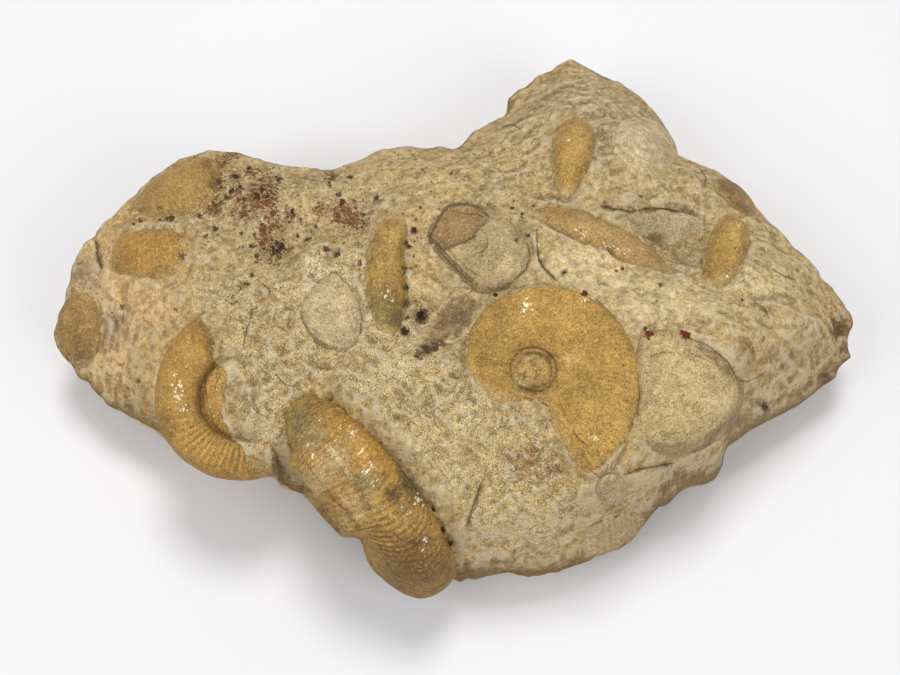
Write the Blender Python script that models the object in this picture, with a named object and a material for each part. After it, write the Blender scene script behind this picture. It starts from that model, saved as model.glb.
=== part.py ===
"""Ammonite cluster plate: a block of cream limestone with golden ammonite moulds
and pale shell moulds standing in its upper face.

Metres, +Z up, the sawn-flat resting face at Z = 0, origin under the middle of
the bounding box. +X runs along the block, +Y to its far side.

The block is one closed body. Every fossil is its own body, sitting in a pocket
of its own shape, with a small gap all round.
"""

import math

import bmesh
import bpy
import numpy as np
from mathutils import Matrix, Vector

MM = 0.001
GAP = 0.35 * MM                    # clearance between a fossil and its pocket

# ---------------------------------------------------------------- view of the reading
# The outline and the relief were read off one picture, 900 x 675, taken from
# VIEW_ELEVATION above the horizon. A reading is (u, v, height in mm), and spot()
# carries it to the block's own frame.
VIEW_ELEVATION = math.radians(68.0)
VIEW_FOCAL = 1300.0                # pixels
VIEW_DISTANCE = 0.305              # from the point looked at
VIEW_TARGET = (0.0, 0.0, 0.026)
VIEW_CENTRE = (450.0, 337.5)
ORIGIN_SHIFT = (0.0009, 0.0104)     # puts the origin under the middle of the box

# ---------------------------------------------------------------- the block's rim
# Widest line of the block, clockwise from the left tip: (u, v, height).
RIM = [
    (53, 330, 20), (56, 313, 21), (66, 296, 23), (69, 268, 25), (78, 250, 26),
    (92, 236, 26), (125, 202, 26), (145, 182, 26), (166, 165, 26), (190, 154, 26),
    (215, 149, 26), (254, 155, 27), (288, 164, 27), (325, 169, 28), (348, 162, 28),
    (374, 149, 27), (420, 145, 27), (458, 145, 27), (466, 138, 26), (473, 130, 26), (487, 122, 25),
    (506, 113, 24), (509, 107, 24), (509, 99, 23), (514, 92, 23), (527, 82, 22), (536, 74, 22),
    (550, 69, 21), (559, 61, 20), (571, 56, 20), (577, 59, 20),
    (583, 67, 21), (608, 76, 22), (640, 95, 23), (662, 118, 24), (677, 144, 25),
    (680, 155, 26), (708, 166, 26), (728, 177, 25), (745, 190, 25), (755, 203, 25),
    (761, 214, 25), (775, 224, 25), (790, 238, 24), (804, 252, 24), (818, 268, 23),
    (824, 278, 23), (836, 289, 22), (849, 308, 21), (855, 324, 20), (854, 332, 19),
    (848, 342, 18), (853, 356, 16), (841, 367, 15), (835, 379, 14), (820, 388, 13), (797, 406, 13), (774, 418, 13),
    (750, 431, 13), (728, 446, 13), (721, 465, 12), (703, 485, 10), (680, 491, 10),
    (660, 507, 10), (642, 527, 9), (614, 550, 9), (590, 558, 9), (553, 574, 9),
    (525, 579, 9), (490, 578, 9), (464, 580, 9), (449, 578, 10), (430, 562, 14),
    (409, 538, 17), (384, 510, 19), (360, 488, 20), (338, 482, 20), (319, 485, 18),
    (302, 490, 16), (280, 483, 17),
    (258, 477, 17), (232, 474, 17), (205, 462, 17), (178, 444, 17), (153, 429, 17),
    (130, 415, 17), (107, 404, 17), (96, 391, 18), (76, 376, 18), (60, 353, 19),
]

# Heights read inside the rim.
RELIEF = [
    # left end
    (80, 330, 24), (104, 300, 29), (112, 340, 27), (98, 368, 22), (130, 392, 22),
    (92, 258, 28), (120, 232, 30), (146, 250, 33), (165, 190, 30), (133, 292, 32),
    (154, 340, 31), (150, 392, 26), (196, 168, 29), (212, 205, 35), (200, 250, 37),
    (180, 300, 37),
    # stained shelf at the back
    (240, 172, 30), (260, 196, 35), (260, 225, 37), (300, 185, 34), (302, 218, 37),
    (342, 184, 34), (342, 215, 38), (285, 252, 37), (320, 256, 41), (286, 278, 41),
    (240, 300, 40), (220, 338, 38), (370, 255, 41),
    # round the ribbed ammonite
    (243, 398, 35), (255, 380, 37), (252, 452, 31), (285, 470, 26), (296, 440, 31),
    (165, 420, 23), (205, 455, 21), (160, 380, 27), (300, 350, 40), (330, 312, 42),
    (300, 396, 37), (280, 330, 40),
    # middle
    (350, 352, 42), (405, 396, 42), (380, 300, 41), (392, 205, 38), (400, 168, 33),
    (440, 166, 34), (442, 204, 39), (418, 250, 39), (432, 305, 37), (450, 328, 36),
    (412, 346, 41), (474, 292, 42), (480, 245, 42), (500, 200, 41), (520, 155, 38),
    (520, 122, 32), (480, 152, 34),
    # round the big flat ammonite
    (545, 290, 46), (555, 375, 45), (480, 362, 43), (632, 380, 44), (595, 470, 38),
    (530, 440, 41), (440, 432, 41), (470, 500, 34), (432, 470, 37), (520, 532, 27),
    (490, 556, 21), (462, 540, 25), (560, 520, 29), (600, 498, 34), (640, 468, 35),
    (560, 552, 18), (540, 490, 35),
    # beside the standing ammonite
    (318, 384, 38), (345, 395, 40), (372, 410, 41), (398, 431, 41), (418, 455, 40),
    (436, 478, 38), (449, 505, 34), (457, 532, 28), (459, 560, 18), (283, 402, 37),
    (282, 425, 35), (292, 455, 31),
    # right shoulder and side
    (640, 440, 39), (690, 390, 42), (735, 382, 39), (728, 420, 33), (690, 446, 34),
    (700, 462, 24), (655, 490, 25), (620, 525, 18), (760, 416, 22), (800, 388, 19),
    (762, 352, 39), (782, 300, 38), (802, 348, 32), (830, 342, 26), (820, 302, 29),
    (780, 252, 33), (762, 232, 32), (742, 300, 41), (700, 300, 43), (727, 247, 40),
    (748, 204, 30), (712, 192, 36), (715, 174, 30),
    # hollow behind the banded ammonite
    (665, 225, 36), (692, 252, 36), (640, 222, 38), (668, 262, 38), (632, 205, 41),
    # banded ammonite and the pale facet in front of it
    (600, 238, 43), (546, 214, 42), (655, 272, 42), (600, 270, 43), (608, 300, 45),
    # far lobe
    (575, 157, 41), (540, 102, 31), (570, 76, 26), (600, 102, 33), (642, 122, 33),
    (645, 150, 37), (667, 150, 30), (600, 190, 41), (560, 200, 40), (650, 186, 38),
    (545, 150, 39), (513, 112, 27), (530, 180, 39), (500, 138, 34),
]

FOOT = 0.70                        # the flat foot, as a share of the rim
STONE_FACES = 2350                 # triangles of the block before its pockets


# ---------------------------------------------------------------- small helpers
def spot(u, v, height):
    """A reading in the picture, carried to the block's frame, in mm."""
    c, s = math.cos(VIEW_ELEVATION), math.sin(VIEW_ELEVATION)
    forward, up = np.array((0, c, -s)), np.array((0, s, c))
    eye = np.array(VIEW_TARGET) - VIEW_DISTANCE * forward
    ray = forward + np.array((1, 0, 0)) * (u - VIEW_CENTRE[0]) / VIEW_FOCAL
    ray = ray + up * (VIEW_CENTRE[1] - v) / VIEW_FOCAL
    hit = eye + ray * (height * MM - eye[2]) / ray[2]
    return (
        (hit[0] - ORIGIN_SHIFT[0]) / MM,
        (hit[1] - ORIGIN_SHIFT[1]) / MM,
        float(height),
    )


def seen_at(points):
    """The picture's (u, v) of points in the block's frame, mm."""
    c, s = math.cos(VIEW_ELEVATION), math.sin(VIEW_ELEVATION)
    forward, up = np.array((0, c, -s)), np.array((0, s, c))
    eye = np.array(VIEW_TARGET) - VIEW_DISTANCE * forward
    p = np.asarray(points, float) * MM + np.array((*ORIGIN_SHIFT, 0)) - eye
    deep = p @ forward
    return np.column_stack(
        [VIEW_CENTRE[0] + VIEW_FOCAL * p[:, 0] / deep,
         VIEW_CENTRE[1] - VIEW_FOCAL * (p @ up) / deep]
    )


def inside(uv, ring):
    """Signed distance in pixels to a closed outline: positive inside."""
    ring = np.asarray(ring, float)
    a, b = ring, np.roll(ring, -1, axis=0)
    best = np.full(len(uv), 1e9)
    odd = np.zeros(len(uv), bool)
    for (x0, y0), (x1, y1) in zip(a, b):
        dx, dy = x1 - x0, y1 - y0
        t = ((uv[:, 0] - x0) * dx + (uv[:, 1] - y0) * dy) / (dx * dx + dy * dy + 1e-9)
        t = np.clip(t, 0, 1)
        best = np.minimum(best, np.hypot(uv[:, 0] - x0 - t * dx, uv[:, 1] - y0 - t * dy))
        cross = (y0 > uv[:, 1]) != (y1 > uv[:, 1])
        at = x0 + (uv[:, 1] - y0) * dx / (dy if abs(dy) > 1e-9 else 1e-9)
        odd ^= cross & (uv[:, 0] < at)
    return np.where(odd, best, -best)


def smooth(a, b, x):
    t = np.clip((np.asarray(x, float) - a) / (b - a), 0.0, 1.0)
    return t * t * (3 - 2 * t)


def lattice(ix, iy, iz, seed):
    """A repeatable number in 0..1 for each lattice point."""
    n = ix * 374761393 + iy * 668265263 + iz * 2147483647 + seed * 974634777
    n = (n ^ (n >> 13)) * 1274126177
    n = n ^ (n >> 16)
    return (n & 0xFFFF) / 65535.0


def value_noise(p, scale, seed):
    """Smooth noise in -1..1 at points p (mm), with features about `scale` mm wide."""
    q = p / scale
    i = np.floor(q).astype(np.int64)
    f = q - i
    f = f * f * (3 - 2 * f)
    total = np.zeros(len(p))
    for dx in (0, 1):
        for dy in (0, 1):
            for dz in (0, 1):
                w = (
                    (f[:, 0] if dx else 1 - f[:, 0])
                    * (f[:, 1] if dy else 1 - f[:, 1])
                    * (f[:, 2] if dz else 1 - f[:, 2])
                )
                total += w * lattice(i[:, 0] + dx, i[:, 1] + dy, i[:, 2] + dz, seed)
    return total * 2 - 1


# ---------------------------------------------------------------- surface of the block
RIM_MM = np.array([spot(*r) for r in RIM])
RELIEF_MM = np.array([spot(*r) for r in RELIEF])
CENTRE = np.array((-1.0, -24.5))    # the rim is star-shaped round this point
SOFTEN = 7.0                       # mm, roundness of the relief between readings


def fit_relief():
    known = np.vstack([RELIEF_MM, RIM_MM])
    gap = known[:, None, :2] - known[None, :, :2]
    kernel = np.sqrt((gap**2).sum(-1) + SOFTEN**2)
    kernel[np.diag_indices(len(known))] -= 0.35
    weights = np.linalg.solve(kernel, known[:, 2] - known[:, 2].mean())
    return known[:, :2], weights, known[:, 2].mean()


FIT = fit_relief()


def height(xy):
    """Height of the upper face, mm, over points xy (mm)."""
    at, weights, mean = FIT
    xy = np.atleast_2d(np.asarray(xy, float))[:, :2]
    gap = xy[:, None, :] - at[None, :, :]
    return np.sqrt((gap**2).sum(-1) + SOFTEN**2) @ weights + mean


def on_top(u, v):
    """Where the picture's point (u, v) lies on the upper face, mm."""
    z = 38.0
    for _ in range(25):
        x, y, _z = spot(u, v, z)
        z += 0.6 * (float(height([(x, y)])[0]) - z)
    return np.array(spot(u, v, z))


def rim_at(angle):
    """Rim radius from CENTRE and rim height at each bearing."""
    rel = RIM_MM[:, :2] - CENTRE
    bearing = np.arctan2(rel[:, 1], rel[:, 0])
    order = np.argsort(bearing)
    b, r, z = bearing[order], np.hypot(*rel[order].T), RIM_MM[order, 2]
    b = np.concatenate([b[-4:] - 2 * math.pi, b, b[:4] + 2 * math.pi])
    r = np.concatenate([r[-4:], r, r[:4]])
    z = np.concatenate([z[-4:], z, z[:4]])
    return np.interp(angle, b, r), np.interp(angle, b, z)


def stone_points(directions):
    """Carries unit directions (a sphere's points) to the block's skin, in mm."""
    d = np.asarray(directions, float)
    bearing = np.arctan2(d[:, 1], d[:, 0])
    polar = np.arccos(np.clip(d[:, 2], -1, 1))
    upper = polar <= math.pi / 2
    tilt = np.where(upper, polar, math.pi - polar)
    s = np.sin(tilt / 2) / math.sin(math.pi / 4)
    radius, rim_z = rim_at(bearing)
    xy = CENTRE + (radius * s)[:, None] * np.stack(
        [np.cos(bearing), np.sin(bearing)], 1
    )
    z = height(xy)
    z = rim_z + (z - rim_z) * (1 - smooth(0.93, 1.0, s) * 0.25)
    z = seat_coils(xy, z)
    foot = FOOT + 0.05 * np.sin(2 * bearing + 0.8) + 0.03 * np.sin(5 * bearing)
    wall = np.clip((s - foot) / (1 - foot), 0, 1)
    low = rim_z * wall ** 1.15
    out = np.column_stack([xy, np.where(upper, z, low)])
    rough = 0.9 * value_noise(out, 13.0, 3) + 0.5 * value_noise(out, 6.0, 5)
    edge = smooth(0.55, 0.95, s)
    out[:, 2] += np.where(upper, rough * (0.35 + 0.65 * edge), 0)
    side = np.where(upper, edge * edge, smooth(0.0, 0.35, wall))
    steady = np.column_stack([xy, np.where(upper, rim_z, low)])
    shift = 1.1 * value_noise(steady + 40.0, 9.0, 7) * side
    out[:, 0] += shift * np.cos(bearing)
    out[:, 1] += shift * np.sin(bearing)
    out[~upper & (wall <= 0), 2] = 0.0
    return out


# ---------------------------------------------------------------- fossil frames
VIEW_LINE = np.array((0.0, -math.cos(VIEW_ELEVATION), math.sin(VIEW_ELEVATION)))


def frame_of(centre, normal, bearing_deg):
    """Local frame: Z is the normal, X the direction seen in the picture at
    bearing_deg, counted anticlockwise from the picture's right."""
    n = np.array(normal, float)
    n /= np.linalg.norm(n)
    a = math.radians(bearing_deg)
    up = np.array((0, math.sin(VIEW_ELEVATION), math.cos(VIEW_ELEVATION)))
    x = math.cos(a) * np.array((1.0, 0, 0)) + math.sin(a) * up
    # slide x along the view line until it lies in the plane of the fossil
    if abs(VIEW_LINE @ n) > 0.15:
        x = x - VIEW_LINE * (x @ n) / (VIEW_LINE @ n)
    x -= n * (x @ n)
    x /= np.linalg.norm(x)
    y = np.cross(n, x)
    m = Matrix.Identity(4)
    for row in range(3):
        m[row][0], m[row][1], m[row][2] = x[row], y[row], n[row]
        m[row][3] = centre[row] * MM
    return m


# ---------------------------------------------------------------- fossil shapes
def coil_radius(theta, radius, rate):
    """Log spiral: `radius` at the mouth (theta = 0), smaller going back, and
    brought up to the mouth again over the last part of the turn."""
    turn = np.asarray(theta) / (2 * math.pi)
    spiral = radius * rate ** (-turn)
    return spiral + (radius - spiral) * smooth(0.915, 1.0, turn)


def coil_points(unit, radius, rate, half, navel, mirrored=False, fat=0.5, reach=1.0):
    """An ammonite as a coil that overlaps itself, from a unit sphere's points.

    radius: at the mouth, mm. rate: growth in one turn. half: half thickness.
    navel: radius of the umbilicus as a share of the outer radius.
    """
    s = np.clip(np.hypot(unit[:, 0], unit[:, 1]), 0, 1)
    theta = np.arctan2(unit[:, 1], unit[:, 0])
    back = (theta if mirrored else -theta) % (2 * math.pi)
    outer = coil_radius(back, radius, rate)
    # s: 0..0.35 umbilicus floor, 0.35..1 the last whorl
    split = 0.35
    inside = s < split
    q = np.clip((s - split) / (1 - split), 0, 1)
    r = np.where(
        inside, outer * navel * s / split, outer * (navel + (1 - navel) * q)
    )
    whorl = (1 - np.abs(2 * np.clip(q, 0, 1) ** 0.8 - 0.9) ** 2.6 / 1.35) ** fat
    whorl = np.where(q >= 1, 0, np.clip(whorl, 0, 1))
    floor = 0.50 + 0.12 * s / split
    h = half * (outer / radius) ** 0.9 * np.where(inside, floor, np.maximum(whorl, 0))
    h = np.where(s > 0.999, 0, h)
    z = np.sign(unit[:, 2]) * h
    return np.column_stack([r * np.cos(theta), r * np.sin(theta), z])


def bean_points(unit, length, width, depth, bend=0.0, taper=0.0, square=2.0):
    """A rounded body, length along X, width along Y, bent sideways by `bend` mm
    at its ends and narrowed by `taper` towards +X."""
    power = 2.0 / square
    p = np.sign(unit) * np.abs(unit) ** power
    norm = (np.abs(p) ** square).sum(1) ** (1 / square)
    p = p / norm[:, None]
    x = p[:, 0] * length / 2
    slim = 1 - taper * p[:, 0]
    y = p[:, 1] * width / 2 * slim + bend * p[:, 0] ** 2
    z = p[:, 2] * depth / 2 * np.sqrt(slim)
    return np.column_stack([x, y, z])


def body_from_sphere(name, shape, frame, around, rings, colour, roughness, grow=0.0):
    """Starts from a UV sphere and carries its points to the fossil's shape."""
    bm = bmesh.new()
    bmesh.ops.create_uvsphere(bm, u_segments=around, v_segments=rings, radius=1.0)
    unit = np.array([v.co for v in bm.verts])
    for v, p in zip(bm.verts, shape(unit)):
        v.co = Vector(p) * MM
    bmesh.ops.recalc_face_normals(bm, faces=bm.faces)
    if grow:
        bm.normal_update()
        moves = []
        for v in bm.verts:
            square_on = min(v.normal.dot(f.normal) for f in v.link_faces)
            moves.append(v.normal * grow * MM / max(square_on, 0.4))
        for v, step in zip(bm.verts, moves):
            v.co += step
    mesh = bpy.data.meshes.new(name)
    bm.to_mesh(mesh)
    bm.free()
    obj = bpy.data.objects.new(name, mesh)
    obj.matrix_world = frame
    if colour is not None:
        mesh.materials.append(stone_material(name, colour, roughness))
        mesh.shade_smooth()
    return obj


def stone_material(name, colour, roughness):
    made = bpy.data.materials.new(name)
    made.use_nodes = True
    shader = made.node_tree.nodes["Principled BSDF"]
    shader.inputs["Base Color"].default_value = (*colour, 1)
    shader.inputs["Roughness"].default_value = roughness
    shader.inputs["Metallic"].default_value = 0.0
    return made


GOLD = (0.45, 0.28, 0.085)
UMBER = (0.30, 0.19, 0.08)
CREAM = (0.53, 0.42, 0.25)
SHELL = (0.46, 0.36, 0.22)
GREY = (0.30, 0.24, 0.16)

# ---------------------------------------------------------------- the fossils
# Coiled ammonites seen from the side.
# name: (u, v of the umbilicus, lift, lean to +x and +y of the normal, bearing of the mouth,
#        radius, growth a turn, half thickness, umbilicus share, mirrored, colour)
COILS = {
    "ammonite_flat": dict(
        at=(532, 371), lift=-2.8, lean=(0.02, -0.30), mouth=-58, radius=28.6,
        rate=2.70, half=5.2, navel=0.25, mirrored=True, colour=GOLD,
        cover=[(462, 372), (478, 388), (497, 397), (516, 400), (534, 397), (549, 405),
               (556, 420), (566, 440), (580, 456), (590, 474), (560, 490), (470, 470)],
        proud=2.0, bury=1.5,
    ),
    "ammonite_ribbed": dict(
        at=(244, 400), lift=-4.2, lean=(0.10, -0.34), mouth=112, radius=22.6,
        rate=1.50, half=6.2, navel=0.46, mirrored=True, colour=GOLD,
        cover=[(214, 300), (212, 345), (226, 368), (230, 376), (222, 386), (218, 402),
               (221, 420), (232, 436), (246, 446), (246, 470), (262, 492), (340, 470),
               (340, 300)],
        proud=2.4, bury=1.4, short=(-100, 3.0),
    ),
    "ammonite_standing": dict(
        centre=(351, 481, 21.0), normal=(-0.747, -0.663, 0.056), mouth=-51.5,
        radius=33.5, rate=2.0, half=8.6, navel=0.30, mirrored=True, squash=0.75,
        fat=0.3, colour=GOLD,
    ),
}

# Fossils of which a rounded back, flank or valve shows.
# at: middle in the picture; lift: middle above the surface, mm; long, wide, deep: mm;
# bearing: of the long axis in the picture; bend, taper, square: see bean_points.
BEANS = {
    "ammonite_back_far": dict(
        at=(574, 158), lift=-1.8, long=18.2, wide=7.8, deep=8.4, bearing=80,
        bend=-0.7, taper=-0.06, square=2.6, colour=GOLD),
    "ammonite_back_band": dict(
        at=(601, 238), lift=-1.6, long=32.0, wide=6.6, deep=8.4, bearing=-26,
        bend=-1.5, taper=0.12, square=2.5, colour=GOLD),
    "ammonite_back_right": dict(
        at=(724, 248), lift=-1.8, long=16.5, wide=7.8, deep=8.4, bearing=66,
        bend=-0.8, taper=-0.02, square=2.6, colour=GOLD),
    "ammonite_back_middle": dict(
        at=(387, 272), lift=-1.8, long=28.0, wide=8.4, deep=9.2, bearing=93,
        bend=1.6, taper=0.03, square=2.4, colour=GOLD),
    "ammonite_flank_left": dict(
        at=(148, 253), lift=-2.0, long=18.6, wide=11.4, deep=7.6, bearing=3,
        bend=0.0, taper=0.08, square=3.4, colour=GOLD),
    "ammonite_back_corner": dict(
        at=(171, 189), lift=-2.6, long=26.0, wide=13.0, deep=9.6, bearing=30,
        bend=-1.0, taper=-0.12, square=2.4, colour=GOLD),
    "ammonite_scrap_right": dict(
        at=(736, 196), lift=-2.0, long=13.0, wide=5.6, deep=7.0, bearing=-44,
        bend=0.4, taper=0.0, square=2.3, colour=UMBER),
    "ammonite_knob_left": dict(
        at=(79, 334), lift=-3.0, long=17.5, wide=10.0, deep=9.6, bearing=82,
        bend=0.3, taper=-0.05, square=2.3, colour=UMBER),
    "shell_tilted": dict(
        at=(478, 248), lift=-1.6, long=23.0, wide=19.0, deep=8.0, bearing=-14,
        bend=0.0, taper=0.06, square=2.4, colour=SHELL),
    "shell_oval_left": dict(
        at=(332, 312), lift=-1.6, long=18.4, wide=13.4, deep=6.4, bearing=-76,
        bend=0.0, taper=-0.12, square=2.2, colour=SHELL),
    "shell_round_right": dict(
        at=(699, 391), lift=-0.8, long=24.6, wide=19.6, deep=6.2, bearing=-62,
        bend=0.0, taper=0.02, square=2.6, colour=CREAM),
    "shell_dark_hollow": dict(
        at=(449, 323), lift=-1.2, long=20.0, wide=8.6, deep=5.2, bearing=36,
        bend=0.6, taper=0.0, square=2.2, colour=GREY),
    "shell_dome_far": dict(
        at=(647, 146), lift=-2.6, long=14.0, wide=11.6, deep=9.4, bearing=-50,
        bend=0.0, taper=0.0, square=2.2, colour=CREAM),
    "shell_lens_hollow": dict(
        at=(664, 226), lift=-1.0, long=15.0, wide=6.4, deep=5.0, bearing=0,
        bend=0.3, taper=0.0, square=2.1, colour=SHELL),
    "shell_ribbed_front": dict(
        at=(614, 534), lift=-1.2, long=15.0, wide=9.0, deep=5.0, bearing=24,
        bend=0.4, taper=0.10, square=2.3, colour=SHELL),
    "shell_small_front": dict(
        at=(613, 492), lift=-0.9, long=6.8, wide=6.2, deep=4.6, bearing=0,
        bend=0.0, taper=0.0, square=2.2, colour=CREAM),
}


def surface_normal(point, span=3.0):
    """Upward normal of the upper face near a point, mm."""
    x, y = point[0], point[1]
    z = height([(x + span, y), (x - span, y), (x, y + span), (x, y - span)])
    n = np.array((-(z[0] - z[1]) / (2 * span), -(z[2] - z[3]) / (2 * span), 1.0))
    return n / np.linalg.norm(n)


def coil_frame(spec):
    if "normal" in spec:
        return frame_of(spot(*spec["centre"]), spec["normal"], spec["mouth"])
    foot = on_top(*spec["at"])
    normal = np.array((spec["lean"][0], spec["lean"][1], 1.0))
    normal /= np.linalg.norm(normal)
    return frame_of(foot + normal * spec["lift"], normal, spec["mouth"])


def seat_coils(xy, z):
    """Lowers the block's skin under the bare part of a coil lying in it, and
    carries it over the part that the limestone covers."""
    z = z.copy()
    for name, spec in COILS.items():
        if "cover" not in spec:
            continue
        m = np.array(coil_frame(spec).inverted())
        normal_z = float(np.array(coil_frame(spec))[2, 2])
        top = z.copy()
        for _ in range(4):
            p = np.column_stack([xy, top]) @ m[:3, :3].T + m[:3, 3] / MM
            r = np.hypot(p[:, 0], p[:, 1])
            theta = np.arctan2(p[:, 1], p[:, 0])
            back = (theta if spec["mirrored"] else -theta) % (2 * math.pi)
            share = r / coil_radius(back, spec["radius"], spec["rate"])
            flank = spec["half"] * np.sqrt(np.clip(1.06 - share**2.5, 0.02, 1))
            top = top + np.clip(flank - p[:, 2], -20, 20) / normal_z
        uv = seen_at(np.column_stack([xy, z]))
        over = smooth(-3, 3, inside(uv, spec["cover"]))
        within = smooth(1.06, 0.97, share)
        near = smooth(1.35, 1.02, share)
        bare = np.minimum(z, top - spec["proud"] * near - 3.2 * within)
        bare = z + (bare - z) * near
        lid = z + (np.maximum(z, top + spec["bury"]) - z) * within
        z = np.where(share < 1.4, bare * (1 - over) + lid * over, z)
    return z


def make_coil(name, spec, grow=0.0):
    frame = coil_frame(spec)

    def shape(unit):
        p = coil_points(
            unit, spec["radius"], spec["rate"], spec["half"], spec["navel"],
            spec["mirrored"], spec.get("fat", 0.5),
        ) * np.array((1.0, spec.get("squash", 1.0), 1.0))
        if "short" in spec:        # broken short on one buried side
            side, reach = math.radians(spec["short"][0]), spec["short"][1]
            d = np.array((math.cos(side), math.sin(side), 0.0))
            over = np.maximum(p @ d - reach, 0)
            p = p - np.outer(over * 0.85, d)
        return p

    plain = grow > 0
    return body_from_sphere(
        name, shape, frame, 26, 11, None if plain else spec["colour"], 0.6, grow
    )


def make_bean(name, spec, grow=0.0):
    foot = on_top(*spec["at"])
    normal = surface_normal(foot)
    frame = frame_of(foot + normal * spec["lift"], normal, spec["bearing"])
    sunk = (2 * abs(spec["lift"]) / spec["deep"]) ** spec["square"]
    full = (1 - sunk) ** (-1 / spec["square"])
    shape = lambda unit: bean_points(
        unit, spec["long"] * full, spec["wide"] * full, spec["deep"],
        spec["bend"], spec["taper"], spec["square"],
    )
    return body_from_sphere(
        name, shape, frame, 12, 7, None if grow else spec["colour"], 0.6, grow
    )


# ---------------------------------------------------------------- build
for old in list(bpy.data.objects):
    bpy.data.objects.remove(old)

parts = bpy.data.collections.new("ammonite_cluster_plate")
cutters = bpy.data.collections.new("pocket_cutters")
bpy.context.scene.collection.children.link(parts)
bpy.context.scene.collection.children.link(cutters)

bm = bmesh.new()
bmesh.ops.create_icosphere(bm, subdivisions=5, radius=1.0)
skin = stone_points(np.array([v.co.normalized() for v in bm.verts]))
for v, p in zip(bm.verts, skin):
    v.co = Vector(p) * MM
bmesh.ops.recalc_face_normals(bm, faces=bm.faces)
stone_mesh = bpy.data.meshes.new("matrix_block")
bm.to_mesh(stone_mesh)
bm.free()
stone = bpy.data.objects.new("matrix_block", stone_mesh)
stone_mesh.materials.append(stone_material("matrix_block", CREAM, 0.85))
parts.objects.link(stone)

thin = stone.modifiers.new("coarsen", "DECIMATE")
thin.ratio = STONE_FACES / len(stone_mesh.polygons)

for table, make in ((COILS, make_coil), (BEANS, make_bean)):
    for name, spec in table.items():
        parts.objects.link(make(name, spec))
        cutter = make("pocket_" + name, spec, grow=GAP / MM)
        cutter.hide_render = True
        cutter.display_type = "WIRE"
        cutters.objects.link(cutter)
        cut = stone.modifiers.new("pocket_" + name, "BOOLEAN")
        cut.operation = "DIFFERENCE"
        cut.object = cutter
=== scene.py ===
"""Looks of the ammonite cluster plate: the limestone block, its coiled ammonites
and its shells, modelled closely over the fixed frame, on a pale floor."""

import math

import bpy
import numpy as np
from mathutils import Matrix, Vector
from mathutils.bvhtree import BVHTree


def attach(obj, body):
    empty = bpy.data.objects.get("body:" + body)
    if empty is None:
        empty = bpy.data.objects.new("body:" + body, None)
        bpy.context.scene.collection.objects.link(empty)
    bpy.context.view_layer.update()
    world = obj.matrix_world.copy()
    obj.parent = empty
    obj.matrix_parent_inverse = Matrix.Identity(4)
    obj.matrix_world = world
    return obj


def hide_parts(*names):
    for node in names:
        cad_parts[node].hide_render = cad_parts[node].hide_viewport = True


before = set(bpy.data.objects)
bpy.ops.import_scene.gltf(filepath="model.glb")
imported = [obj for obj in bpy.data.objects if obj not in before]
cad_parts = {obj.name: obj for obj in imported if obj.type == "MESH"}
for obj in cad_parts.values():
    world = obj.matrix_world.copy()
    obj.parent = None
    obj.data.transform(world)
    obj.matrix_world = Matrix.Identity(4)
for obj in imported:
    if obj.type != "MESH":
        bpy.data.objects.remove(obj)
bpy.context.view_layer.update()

MM = 0.001

# ------------------------------------------------------------------ the view of the readings
VIEW_ELEVATION = math.radians(68.0)
VIEW_FOCAL = 1300.0
VIEW_DISTANCE = 0.305
VIEW_TARGET = (0.0, 0.0, 0.026)
VIEW_CENTRE = (450.0, 337.5)
ORIGIN_SHIFT = (0.0009, 0.0104)
C68, S68 = math.cos(VIEW_ELEVATION), math.sin(VIEW_ELEVATION)
FORWARD = np.array((0, C68, -S68))
UPWARD = np.array((0, S68, C68))
EYE = np.array(VIEW_TARGET) - VIEW_DISTANCE * FORWARD
VIEW_LINE = -FORWARD


def spot(u, v, height):
    """A reading in the picture carried to the row frame, mm."""
    ray = FORWARD + np.array((1, 0, 0)) * (u - VIEW_CENTRE[0]) / VIEW_FOCAL
    ray = ray + UPWARD * (VIEW_CENTRE[1] - v) / VIEW_FOCAL
    hit = EYE + ray * (height * MM - EYE[2]) / ray[2]
    return np.array(
        ((hit[0] - ORIGIN_SHIFT[0]) / MM, (hit[1] - ORIGIN_SHIFT[1]) / MM, float(height))
    )


def seen_at(points):
    """(u, v) of points given in the row frame, mm."""
    p = np.asarray(points, float) * MM + np.array((*ORIGIN_SHIFT, 0)) - EYE
    deep = p @ FORWARD
    return np.column_stack(
        [VIEW_CENTRE[0] + VIEW_FOCAL * p[:, 0] / deep,
         VIEW_CENTRE[1] - VIEW_FOCAL * (p @ UPWARD) / deep]
    )


def smooth(a, b, x):
    t = np.clip((np.asarray(x, float) - a) / (b - a), 0.0, 1.0)
    return t * t * (3 - 2 * t)


def inside(uv, ring):
    """Signed distance in pixels to a closed outline: positive inside."""
    ring = np.asarray(ring, float)
    best = np.full(len(uv), 1e9)
    odd = np.zeros(len(uv), bool)
    for (x0, y0), (x1, y1) in zip(ring, np.roll(ring, -1, axis=0)):
        dx, dy = x1 - x0, y1 - y0
        t = ((uv[:, 0] - x0) * dx + (uv[:, 1] - y0) * dy) / (dx * dx + dy * dy + 1e-9)
        t = np.clip(t, 0, 1)
        best = np.minimum(best, np.hypot(uv[:, 0] - x0 - t * dx, uv[:, 1] - y0 - t * dy))
        cross = (y0 > uv[:, 1]) != (y1 > uv[:, 1])
        at = x0 + (uv[:, 1] - y0) * dx / (dy if abs(dy) > 1e-9 else 1e-9)
        odd ^= cross & (uv[:, 0] < at)
    return np.where(odd, best, -best)


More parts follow.
